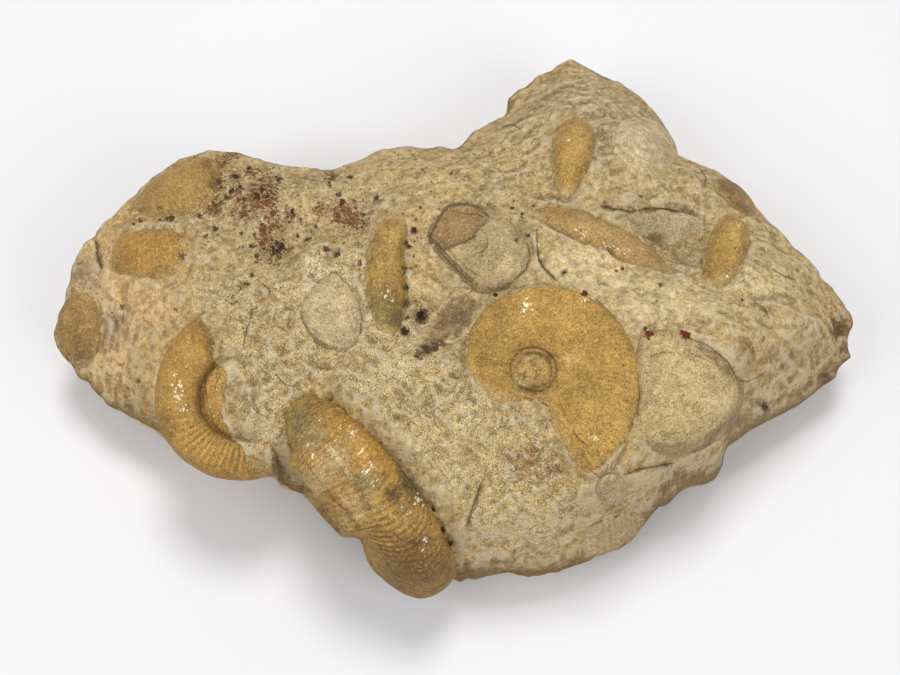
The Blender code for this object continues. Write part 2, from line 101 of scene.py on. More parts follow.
def along(uv, line):
    """Distance in pixels to an open line, the side (+ is the right hand when
    walking the line in the picture), and the share walked."""
    line = np.asarray(line, float)
    steps = np.hypot(*(line[1:] - line[:-1]).T)
    total = steps.sum()
    best = np.full(len(uv), 1e9)
    side = np.zeros(len(uv))
    share = np.zeros(len(uv))
    walked = 0.0
    for (x0, y0), (x1, y1), step in zip(line[:-1], line[1:], steps):
        dx, dy = x1 - x0, y1 - y0
        t = np.clip(
            ((uv[:, 0] - x0) * dx + (uv[:, 1] - y0) * dy) / (step * step + 1e-9), 0, 1
        )
        d = np.hypot(uv[:, 0] - x0 - t * dx, uv[:, 1] - y0 - t * dy)
        near = d < best
        best = np.where(near, d, best)
        turn = (uv[:, 1] - y0) * dx - (uv[:, 0] - x0) * dy
        side = np.where(near, np.sign(turn), side)
        share = np.where(near, (walked + t * step) / total, share)
        walked += step
    return best, side, share


# ------------------------------------------------------------------ repeatable noise
def lattice(ix, iy, iz, seed):
    n = ix * 374761393 + iy * 668265263 + iz * 2147483647 + seed * 974634777
    n = (n ^ (n >> 13)) * 1274126177
    n = n ^ (n >> 16)
    return (n & 0xFFFF) / 65535.0


def noise(p, scale, seed):
    """Smooth noise in -1..1 at points p (mm), features about `scale` mm wide."""
    q = np.asarray(p, float) / scale
    i = np.floor(q).astype(np.int64)
    f = q - i
    f = f * f * f * (f * (f * 6 - 15) + 10)
    total = np.zeros(len(q))
    for dx in (0, 1):
        for dy in (0, 1):
            for dz in (0, 1):
                w = (
                    (f[:, 0] if dx else 1 - f[:, 0])
                    * (f[:, 1] if dy else 1 - f[:, 1])
                    * (f[:, 2] if dz else 1 - f[:, 2])
                )
                total += w * lattice(i[:, 0] + dx, i[:, 1] + dy, i[:, 2] + dz, seed)
    return total * 2 - 1


def layered(p, scale, seed, octaves=3, gain=0.5):
    total, size = 0.0, 1.0
    for k in range(octaves):
        total = total + size * noise(p, scale / 2**k, seed + 17 * k)
        size *= gain
    return total


# ------------------------------------------------------------------ readings of the block
RIM = [
    (53, 330, 20), (56, 313, 21), (66, 296, 23), (69, 268, 25), (78, 250, 26),
    (92, 236, 26), (125, 202, 26), (145, 182, 26), (166, 165, 26), (190, 154, 26),
    (215, 149, 26), (254, 155, 27), (288, 164, 27), (325, 169, 28), (348, 162, 28),
    (374, 149, 27), (420, 145, 27), (458, 145, 27), (473, 130, 26), (487, 122, 25),
    (506, 113, 24), (509, 99, 23), (527, 82, 22), (550, 69, 21), (571, 56, 20),
    (583, 67, 21), (608, 76, 22), (640, 95, 23), (662, 118, 24), (677, 144, 25),
    (680, 155, 26), (708, 166, 26), (728, 177, 25), (745, 190, 25), (755, 203, 25),
    (775, 224, 25), (804, 252, 24), (824, 278, 23), (836, 289, 22), (849, 308, 21),
    (855, 324, 20), (848, 342, 18), (853, 356, 16), (841, 367, 15), (835, 379, 14),
    (820, 388, 13), (797, 406, 13), (774, 418, 13), (750, 431, 13), (728, 446, 13),
    (721, 465, 12), (703, 485, 10), (680, 491, 10), (660, 507, 10), (642, 527, 9),
    (614, 550, 9), (590, 558, 9), (553, 574, 9), (525, 579, 9), (490, 578, 9),
    (464, 580, 9), (449, 578, 10), (430, 562, 14), (409, 538, 17), (384, 510, 19),
    (360, 488, 20), (338, 482, 20), (319, 485, 18), (302, 490, 16), (280, 483, 17),
    (258, 477, 17), (232, 474, 17), (205, 462, 17), (178, 444, 17), (153, 429, 17),
    (130, 415, 17), (107, 404, 17), (96, 391, 18), (76, 376, 18), (60, 353, 19),
]

# The block's outline as it shows in the picture, clockwise.
OUTLINE = [
    (53, 330), (56, 314), (64, 305), (67, 283), (69, 268), (77, 251), (92, 237),
    (107, 219), (125, 202), (145, 182), (165, 166), (185, 156), (208, 150), (231, 150),
    (254, 156), (268, 162), (288, 165), (304, 167), (317, 169), (337, 169), (349, 162),
    (364, 158), (374, 149), (387, 147), (400, 145), (420, 146), (440, 144), (455, 146),
    (461, 144), (466, 138), (473, 130), (480, 127), (487, 122), (498, 118), (507, 113),
    (509, 106), (507, 99), (513, 93), (520, 88), (528, 83), (536, 74), (544, 72),
    (551, 70), (559, 62), (571, 57), (576, 59), (582, 66), (592, 70), (602, 73),
    (619, 82), (639, 95), (648, 104), (657, 112), (663, 121), (668, 128), (674, 138),
    (677, 145), (680, 155), (691, 159), (708, 166), (723, 176), (733, 183), (743, 188),
    (754, 202), (760, 214), (767, 219), (774, 224), (789, 237), (795, 246), (803, 252),
    (811, 262), (817, 268), (823, 277), (829, 281), (835, 288), (842, 297), (849, 308),
    (853, 314), (855, 325), (848, 333), (846, 342), (853, 349), (852, 357), (845, 361),
    (840, 366), (838, 373), (835, 379), (827, 381), (820, 388), (809, 396), (797, 406),
    (786, 411), (774, 418), (762, 425), (751, 431), (738, 440), (728, 446), (723, 453),
    (724, 464), (717, 478), (703, 485), (692, 487), (680, 491), (671, 500), (660, 507),
    (650, 517), (642, 527), (637, 534), (631, 540), (623, 545), (614, 550), (602, 554),
    (591, 558), (573, 567), (563, 570), (553, 574), (539, 576), (525, 579), (510, 576),
    (496, 577), (480, 579), (464, 580), (449, 578), (430, 562), (409, 538), (384, 510),
    (360, 488), (338, 482), (319, 487), (306, 492), (298, 491), (291, 488), (280, 483),
    (262, 477), (245, 473), (217, 463), (198, 455), (180, 442), (173, 441), (163, 435),
    (153, 429), (141, 421), (130, 415), (118, 408), (107, 404), (101, 397), (96, 392),
    (90, 386), (87, 380), (76, 376), (73, 366), (66, 359), (59, 352), (55, 342),
]

RELIEF = [
    (80, 330, 24), (104, 300, 29), (112, 340, 27), (98, 368, 22), (130, 392, 22),
    (92, 258, 28), (120, 232, 30), (146, 250, 33), (165, 190, 30), (133, 292, 32),
    (154, 340, 31), (150, 392, 26), (196, 168, 29), (212, 205, 35), (200, 250, 37),
    (180, 300, 37),
    (240, 172, 30), (260, 196, 35), (260, 225, 37), (300, 185, 34), (302, 218, 37),
    (342, 184, 34), (342, 215, 38), (285, 252, 37), (320, 256, 41), (286, 278, 41),
    (240, 300, 40), (220, 338, 38), (370, 255, 41),
    (243, 398, 35), (255, 380, 37), (252, 452, 31), (285, 470, 26), (296, 440, 31),
    (165, 420, 23), (205, 455, 21), (160, 380, 27), (300, 350, 40), (330, 312, 42),
    (300, 396, 37), (280, 330, 40),
    (350, 352, 42), (405, 396, 42), (380, 300, 41), (392, 205, 38), (400, 168, 33),
    (440, 166, 34), (442, 204, 39), (418, 250, 39), (432, 305, 37), (450, 328, 36),
    (412, 346, 41), (474, 292, 42), (480, 245, 42), (500, 200, 41), (520, 155, 38),
    (520, 122, 32), (480, 152, 34),
    (545, 290, 46), (555, 375, 45), (480, 362, 43), (632, 380, 44), (595, 470, 38),
    (530, 440, 41), (440, 432, 41), (470, 500, 34), (432, 470, 37), (520, 532, 27),
    (490, 556, 21), (462, 540, 25), (560, 520, 29), (600, 498, 34), (640, 468, 35),
    (560, 552, 18), (540, 490, 35),
    (318, 384, 38), (345, 395, 40), (372, 410, 41), (398, 431, 41), (418, 455, 40),
    (436, 478, 38), (449, 505, 34), (457, 532, 28), (459, 560, 18), (283, 402, 37),
    (282, 425, 35), (292, 455, 31),
    (640, 440, 39), (690, 390, 42), (735, 382, 39), (728, 420, 33), (690, 446, 34),
    (700, 462, 24), (655, 490, 25), (620, 525, 18), (760, 416, 22), (800, 388, 19),
    (762, 352, 39), (782, 300, 38), (802, 348, 32), (830, 342, 26), (820, 302, 29),
    (780, 252, 33), (762, 232, 32), (742, 300, 41), (700, 300, 43), (727, 247, 40),
    (748, 204, 30), (712, 192, 36), (715, 174, 30),
    (665, 225, 36), (692, 252, 36), (640, 222, 38), (668, 262, 38), (632, 205, 41),
    (600, 238, 43), (546, 214, 42), (655, 272, 42), (600, 270, 43), (608, 300, 45),
    (575, 157, 41), (540, 102, 31), (570, 76, 26), (600, 102, 33), (642, 122, 33),
    (645, 150, 37), (667, 150, 30), (600, 190, 41), (560, 200, 40), (650, 186, 38),
    (545, 150, 39), (513, 112, 27), (530, 180, 39), (500, 138, 34),
]

SOFTEN = 6.0
FOOT = 0.72

RIM_MM = np.array([spot(*r) for r in RIM])
RELIEF_MM = np.array([spot(*r) for r in RELIEF])


def fit_relief():
    known = np.vstack([RELIEF_MM, RIM_MM])
    gap = known[:, None, :2] - known[None, :, :2]
    kernel = np.sqrt((gap**2).sum(-1) + SOFTEN**2)
    kernel[np.diag_indices(len(known))] -= 0.30
    weights = np.linalg.solve(kernel, known[:, 2] - known[:, 2].mean())
    return known[:, :2], weights, known[:, 2].mean()


FIT = fit_relief()


def height(xy):
    at, weights, mean = FIT
    xy = np.atleast_2d(np.asarray(xy, float))[:, :2]
    out = np.empty(len(xy))
    for a in range(0, len(xy), 20000):
        part = xy[a:a + 20000]
        gap = part[:, None, :] - at[None, :, :]
        out[a:a + 20000] = np.sqrt((gap**2).sum(-1) + SOFTEN**2) @ weights + mean
    return out


def on_top(u, v):
    z = 38.0
    for _ in range(25):
        x, y, _z = spot(u, v, z)
        z += 0.6 * (float(height([(x, y)])[0]) - z)
    return spot(u, v, z)


def frame_of(centre, normal, bearing_deg):
    """Rows are the local X, Y, Z axes; and the centre, mm."""
    n = np.array(normal, float)
    n /= np.linalg.norm(n)
    a = math.radians(bearing_deg)
    x = math.cos(a) * np.array((1.0, 0, 0)) + math.sin(a) * UPWARD
    if abs(VIEW_LINE @ n) > 0.15:
        x = x - VIEW_LINE * (x @ n) / (VIEW_LINE @ n)
    x -= n * (x @ n)
    x /= np.linalg.norm(x)
    return np.array([x, np.cross(n, x), n]), np.array(centre, float)


def to_world(local, axes_at):
    axes, centre = axes_at
    return np.asarray(local) @ axes + centre


def to_local(points, axes_at):
    axes, centre = axes_at
    return (np.asarray(points) - centre) @ axes.T


# ------------------------------------------------------------------ colour
def tint(r, g, b):
    """Eight-bit sRGB to linear."""
    c = np.array((r, g, b), float) / 255
    return np.where(c <= 0.04045, c / 12.92, ((c + 0.055) / 1.055) ** 2.4)


def patched(colour, uv, xyz, patches, edge=1.0):
    """Lays soft-edged patches over a colour. A patch is (u, v, half width,
    half height, turn in degrees, tint, strength, hardness)."""
    wander = np.column_stack([noise(xyz, 5.0, 91), noise(xyz, 5.0, 92)]) * 4.0 * edge
    wander += np.column_stack([noise(xyz, 1.7, 93), noise(xyz, 1.7, 94)]) * 2.6 * edge
    fray = np.column_stack([noise(xyz, 0.7, 95), noise(xyz, 0.7, 96)]) * 1.3 * edge
    for u, v, ru, rv, turn, rgb, strength, hard in patches:
        a = math.radians(turn)
        near = (np.abs(uv[:, 0] - u) < 3 * (ru + rv)) & (np.abs(uv[:, 1] - v) < 3 * (ru + rv))
        d = uv[near] + wander[near] * min(1.0, (ru + rv) / 12.0) + fray[near] - (u, v)
        x = d[:, 0] * math.cos(a) - d[:, 1] * math.sin(a)
        y = d[:, 0] * math.sin(a) + d[:, 1] * math.cos(a)
        r = np.hypot(x / ru, y / rv)
        w = (strength * np.exp(-(r ** (2 * hard)) * 0.9))[:, None]
        colour[near] = colour[near] * (1 - w) + np.asarray(rgb) * w
    return colour


# ------------------------------------------------------------------ mesh helpers
def put_mesh(name, verts, faces, attributes=None, flat_faces=None):
    """verts in mm; faces as an (n, 4) or (n, 3) array, or a list of arrays."""
    groups = faces if isinstance(faces, list) else [faces]
    loops = np.concatenate([np.asarray(g).ravel() for g in groups]).astype(np.int32)
    sizes = np.concatenate([np.full(len(g), np.asarray(g).shape[1]) for g in groups])
    starts = np.concatenate([[0], np.cumsum(sizes)[:-1]]).astype(np.int32)
    mesh = bpy.data.meshes.new(name)
    mesh.vertices.add(len(verts))
    mesh.vertices.foreach_set("co", (np.asarray(verts) * MM).astype(np.float32).ravel())
    mesh.loops.add(len(loops))
    mesh.loops.foreach_set("vertex_index", loops)
    mesh.polygons.add(len(sizes))
    mesh.polygons.foreach_set("loop_start", starts)
    mesh.polygons.foreach_set("loop_total", sizes.astype(np.int32))
    mesh.update(calc_edges=True)
    mesh.validate()
    for key, values in (attributes or {}).items():
        values = np.asarray(values, np.float32)
        if values.ndim == 2:
            layer = mesh.attributes.new(key, "FLOAT_COLOR", "POINT")
            full = np.ones((len(values), 4), np.float32)
            full[:, :3] = values
            layer.data.foreach_set("color", full.ravel())
        else:
            layer = mesh.attributes.new(key, "FLOAT", "POINT")
            layer.data.foreach_set("value", values)
    obj = bpy.data.objects.new(name, mesh)
    bpy.context.scene.collection.objects.link(obj)
    mesh.shade_smooth()
    return obj


def tree_of(verts, faces):
    groups = faces if isinstance(faces, list) else [faces]
    polys = [tuple(int(i) for i in f) for g in groups for f in g]
    return BVHTree.FromPolygons([tuple(map(float, v)) for v in verts], polys)


def drop_on(tree, xy):
    """Height where a vertical line meets the tree from above, mm (nan where it
    misses), and how squarely the surface there faces the picture's view."""
    out = np.full(len(xy), np.nan)
    facing = np.zeros(len(xy))
    down, view = Vector((0, 0, -1)), Vector(tuple(VIEW_LINE))
    for i, (x, y) in enumerate(xy):
        where, normal, _face, _far = tree.ray_cast(Vector((x, y, 120.0)), down)
        if where is not None:
            out[i] = where[2]
            facing[i] = normal.dot(view)
    return out, facing


def lathe_faces(around, rings, first_pole, last_pole, ring_start):
    """Quads between rings of `around` points, and the two end fans."""
    i = np.arange(around)
    j = (i + 1) % around
    quads = []
    for k in range(rings - 1):
        a, b = ring_start + k * around, ring_start + (k + 1) * around
        quads.append(np.column_stack([a + i, b + i, b + j, a + j]))
    fan_a = np.column_stack([np.full(around, first_pole), ring_start + i, ring_start + j])
    last = ring_start + (rings - 1) * around
    fan_b = np.column_stack([np.full(around, last_pole), last + j, last + i])
    return [np.concatenate(quads), fan_a, fan_b]


# ------------------------------------------------------------------ coiled ammonites
GOLD = tint(182, 145, 80)
GOLD_DEEP = tint(166, 128, 66)
GOLD_PALE = tint(201, 168, 104)
UMBER = tint(128, 98, 60)
GREENISH = tint(120, 108, 72)
CREAM = tint(190, 167, 122)
PALE = tint(216, 199, 160)
CHALK = tint(232, 220, 190)
GREY = tint(163, 147, 115)
SOOT = tint(58, 44, 32)
RUST = tint(120, 76, 36)
ORANGE = tint(176, 116, 52)
MAUVE = tint(160, 136, 112)
BROWN = tint(150, 116, 74)
WINE = tint(96, 30, 28)

COILS = {
    "ammonite_flat": dict(
        at=(532, 370), lift=-2.6, lean=(0.02, -0.30), mouth=-58, radius=28.0, rate=2.70,
        half=5.2, navel=5.6, navel_rate=1.18, around=700, rings=92, under=16,
        exposed=[
            (467, 364), (468, 348), (471, 334), (478, 318), (490, 305), (508, 295),
            (527, 289), (549, 286), (570, 288), (590, 295), (607, 306), (620, 320),
            (630, 338), (636, 354), (639, 369), (640, 390), (637, 412), (631, 428),
            (622, 443), (611, 456), (600, 466), (590, 471), (580, 468), (571, 459),
            (567, 445), (558, 432), (552, 420), (548, 405), (543, 399), (531, 401),
            (517, 401), (503, 400), (488, 392), (475, 380),
        ],
        depth=1.3, lip=0.10,
    ),
    "ammonite_ribbed": dict(
        at=(244, 400), lift=-4.0, lean=(0.10, -0.34), mouth=112, radius=21.7, rate=1.50,
        half=6.4, navel=10.4, navel_rate=1.50, around=620, rings=84, under=14,
        exposed=[
            (193, 314), (176, 326), (164, 340), (156, 358), (150, 388), (150, 409),
            (155, 428), (163, 444), (174, 458), (192, 472), (217, 488), (238, 494),
            (249, 489), (251, 476), (247, 463), (243, 452), (238, 446), (233, 440),
            (228, 432), (222, 420), (221, 406), (223, 392), (227, 380), (224, 371),
            (214, 366), (211, 352), (213, 340), (205, 324),
        ],
        depth=1.4, lip=0.25, short=(-100, 3.0),
    ),
    "ammonite_standing": dict(
        centre=(351, 481, 21.0), normal=(-0.747, -0.663, 0.056), mouth=-51.5,
        radius=33.5, rate=2.0, half=8.8, navel=9.5, navel_rate=1.6, squash=0.75,
        around=640, rings=84, under=44,
        exposed=[
            (284, 412), (291, 403), (303, 397), (318, 394), (335, 397), (349, 404),
            (365, 413), (381, 425), (397, 439), (412, 458), (430, 480), (443, 506),
            (451, 528), (455, 556), (452, 584), (440, 610), (400, 620), (340, 580),
            (292, 530), (304, 502), (309, 486), (301, 469), (294, 453), (287, 434),
        ],
        depth=1.6, lip=0.4,
    ),
}


def coil_radius(back, radius, rate):
    turn = np.asarray(back) / (2 * math.pi)
    spiral = radius * rate ** (-turn)
    return spiral + (radius - spiral) * smooth(0.915, 1.0, turn)


def flank_flat(q):
    """The smooth disc: flat flank with a rounded margin."""
    rise = 0.86 + 0.14 * smooth(0.0, 0.10, q)
    return rise * (1.0 - 0.20 * q**2) * np.clip(1 - np.clip(q, 0, 1) ** 11, 0, 1) ** 0.5


def flank_round(q):
    """The ribbed coil: a whorl as round as it is high."""
    return np.clip(1 - np.abs(2 * q - 0.92) ** 2.5 / 1.2, 0, 1) ** 0.5


def flank_broad(q):
    """The standing one: broad back, sloping umbilical wall."""
    return (0.60 + 0.40 * smooth(0.0, 0.42, q)) * np.clip(1 - np.clip(q, 0, 1) ** 5.0, 0, 1) ** 0.5


def coil_axes(spec):
    if "normal" in spec:
        return frame_of(spot(*spec["centre"]), spec["normal"], spec["mouth"])
    foot = on_top(*spec["at"])
    normal = np.array((spec["lean"][0], spec["lean"][1], 1.0))
    normal /= np.linalg.norm(normal)
    return frame_of(foot + normal * spec["lift"], normal, spec["mouth"])


def coil_surface(name, spec):
    """Vertices (mm, row frame), faces, and for each vertex: the angle back from
    the mouth, the share q across the whorl (below 0 in the umbilicus), and ribs."""
    n, up, low = spec["around"], spec["rings"], spec["under"]
    back = np.arange(n) / n * 2 * math.pi
    outer = coil_radius(back, spec["radius"], spec["rate"])
    navel = np.minimum(
        spec["navel"] * spec["navel_rate"] ** (-back / (2 * math.pi)), outer * 0.62
    )
    navel = navel + (spec["navel"] - navel) * smooth(0.915, 1.0, back / (2 * math.pi))
    flank = {"ammonite_flat": flank_flat, "ammonite_ribbed": flank_round}.get(name, flank_broad)

    # shares of the whorl at each ring, crowded near the margin
    inner = int(up * 0.24)
    t_in = np.linspace(0.04, 1.0, inner, endpoint=False)
    t_out = np.linspace(0.0, 1.0, up - inner)
    t_out = 1 - (1 - t_out) ** 1.35
    rows = []
    for t in t_in:
        rows.append((navel * t, np.full(n, t - 1.0)))
    for t in t_out:
        rows.append((navel + (outer - navel) * t, np.full(n, t)))
    tops = len(rows)
    t_low = np.linspace(1, 0, low + 2)[1:-1]
    t_low = 1 - (1 - t_low) ** 1.3
    for t in t_low:
        rows.append((navel + (outer - navel) * t, np.full(n, t)))
    r = np.array([row[0] for row in rows])
    q = np.array([row[1] for row in rows])
    th = np.tile(back, (len(rows), 1))
    size = outer / spec["radius"]
    upper = np.zeros_like(r, bool)
    upper[:tops] = True

    body = flank(np.clip(q, 0, 1))
    z = spec["half"] * size**0.9 * body
    groove = np.zeros_like(r)
    crest = np.zeros_like(r)
    line = np.zeros_like(r)
    p3 = np.stack([r * np.cos(th), r * np.sin(th), np.zeros_like(r)], -1).reshape(-1, 3)

    if name == "ammonite_flat":
        # umbilicus: a groove, one inner whorl, a second groove and the core
        t = q + 1.0
        within = (q < 0) & upper
        turn = th / (2 * math.pi)
        ring = 0.70 + 0.05 * np.cos(th - 0.8)
        edge = spec["half"] * 0.86 * (0.62 + (size**0.9 - 0.62) * smooth(0.62, 0.97, t))
        core = edge - 0.05 - 0.55 * smooth(1.0, 0.92, t) + 0.50 * smooth(0.94, 0.84, t)
        core = core - 0.30 * np.exp(-(((t - ring) / 0.06) ** 2)) - 0.12 * smooth(0.55, 0.2, t)
        core = core + 0.16 * noise(p3, 1.1, 31).reshape(r.shape) + 0.10 * noise(p3, 0.6, 32).reshape(r.shape)
        z = np.where(within, core, z)
        groove = np.where(within, np.exp(-(((t - 0.95) / 0.07) ** 2)), 0)
        groove = np.maximum(groove, np.where(within, 0.75 * np.exp(-(((t - ring) / 0.05) ** 2)), 0))
        sweep = 0.16 * (q - 0.35) ** 2 + 0.05 * q
        wave = np.sin(104 * (th + sweep) + 1.4 * noise(p3, 9.0, 33).reshape(r.shape))
        show = smooth(0.18, 0.60, q) * smooth(1.0, 0.93, q)
        fade = 0.30 + 0.70 * smooth(0.60, 0.1, turn)
        line = wave * show * fade * (0.6 + 0.6 * smooth(-0.4, 0.4, noise(p3, 5.0, 34).reshape(r.shape)))
        z = z + 0.06 * line * upper
        z = z + 0.10 * noise(p3, 6.0, 35).reshape(r.shape) * upper * smooth(1.0, 0.9, q)
        z = z + 0.035 * noise(p3, 1.2, 36).reshape(r.shape) * upper
    elif name == "ammonite_ribbed":
        t = q + 1.0
        within = (q < 0) & upper
        seam = spec["half"] * size**0.9 * flank_round(np.zeros_like(q))
        inner_half = spec["half"] * size**0.9 * 0.62
        m = np.clip((t - 0.40) / 0.56, 0, 1)
        second = inner_half * (0.55 + 0.45 * np.clip(1 - np.abs(2 * m - 1.05) ** 2.2, 0, 1) ** 0.5)
        z = np.where(within, second, z)
        groove = np.exp(-((q / 0.05) ** 2))
        z = z - 1.1 * groove * upper
        ribs = 62
        bow = 0.10 * (q - 0.3) ** 2
        wave = np.cos(ribs * (th + bow) + 0.7 * noise(p3, 8.0, 41).reshape(r.shape))
        wave = np.sign(wave) * np.abs(wave) ** 0.8
        strong = np.where(q >= 0, smooth(0.0, 0.14, q) * smooth(0.92, 0.52, q), 0.8 * smooth(0.38, 0.5, t))
        line = wave * strong * (0.75 + 0.45 * noise(p3, 7.0, 42).reshape(r.shape))
        line = line * (0.18 + 0.82 * smooth(1.3, 2.1, th) * smooth(3.4, 2.9, th))
        amp = np.where(q >= 0, 0.17, 0.12)
        z = z + amp * line * upper
        z = z + (0.16 * noise(p3, 2.4, 43) + 0.30 * noise(p3, 6.5, 44)).reshape(r.shape) * upper
        share_round = th / (2 * math.pi)
        sunk = np.maximum(smooth(0.60, 0.72, share_round), smooth(0.05, 0.0, share_round))
        z = z * (1 - 0.85 * sunk * smooth(-0.2, 0.2, q))
    else:
        t = q + 1.0
        within = q < 0
        edge = spec["half"] * size**0.9 * 0.60
        steps = edge * (0.42 + 0.50 * smooth(0.35, 0.95, t))
        steps = steps + 0.7 * np.clip(np.sin(t * 2 * math.pi * 2.1), 0, 1)
        z = np.where(within, steps, z)
        groove = np.exp(-(((q - 0.0) / 0.05) ** 2)) + 0.8 * np.exp(-(((q + 0.45) / 0.06) ** 2))
        z = z - 0.5 * groove
        sweep = 0.22 * (q - 0.3) ** 2
        wander = noise(p3, 11.0, 51).reshape(r.shape)
        fine = np.sin(118 * (th + sweep) + 3.0 * wander)
        coarse = np.sin(47 * (th + sweep) + 2.0 * wander + 1.0)
        line = (0.65 * fine + 0.25 * coarse) * (0.3 + 0.5 * smooth(-0.3, 0.3, noise(p3, 13.0, 52).reshape(r.shape)))
        line = np.where(q < -0.35, 0.6 * np.sin(120 * th), line)
        z = z + 0.12 * line * smooth(0.995, 0.9, q)
        z = z + 0.35 * noise(p3, 7.0, 53).reshape(r.shape) + 0.12 * noise(p3, 2.0, 54).reshape(r.shape)

    z = np.where(upper, z, -z)
    # the margin closes at the ring where the two sides meet
    margin = tops - 1
    z[margin] = 0
    x, y = r * np.cos(th), r * np.sin(th)
    if name == "ammonite_standing":
        swell = 1 + (0.0045 * line + 0.014 * noise(p3, 6.0, 55).reshape(r.shape)) * smooth(0.7, 1.0, q)
        x, y = x * swell, y * swell
    if name == "ammonite_ribbed":
        swell = 1 + (0.003 * line + 0.010 * noise(p3, 5.0, 45).reshape(r.shape)) * smooth(0.6, 1.0, q)
        x, y = x * swell, y * swell
    y = y * spec.get("squash", 1.0)
    local = np.stack([x, y, z], -1).reshape(-1, 3)
    pole_top = np.array([[0, 0, z[0].mean()]])
    pole_low = np.array([[0, 0, z[-1].mean() * 0.9]])
    local = np.vstack([local, pole_top, pole_low])
    if "short" in spec:
        side, reach = math.radians(spec["short"][0]), spec["short"][1]
        d = np.array((math.cos(side), math.sin(side), 0.0))
        over = np.maximum(local @ d - reach, 0)
        local = local - np.outer(over * 0.85, d)
    world = to_world(local, coil_axes(spec))
    if name == "ammonite_standing":
        # the flank seen at the left stands fuller than the disc behind it
        d, _side, share = along(seen_at(world), [(296, 446), (309, 472), (324, 497), (343, 519), (364, 540)])
        full = np.exp(-((d / 19.0) ** 2)) * smooth(0.0, 0.12, share) * smooth(1.0, 0.85, share)
        face = smooth(-0.5, 2.5, local[:, 2])
        world = world + np.outer(3.3 * full * face, coil_axes(spec)[0][2])
        # the far end is a little shorter than the full turn
        low_end = smooth(560, 604, seen_at(world)[:, 1])
        world = world + np.outer(1.5 * low_end, (-0.05, 1.0, 0.0))
    count = len(rows) * n
    faces = lathe_faces(n, len(rows), count, count + 1, 0)
    pad = lambda a: np.concatenate([a.ravel(), [a[0].mean(), a[-1].mean()]])
    return world, faces, dict(q=pad(q), back=pad(th), line=pad(line), groove=pad(groove), r=pad(r))


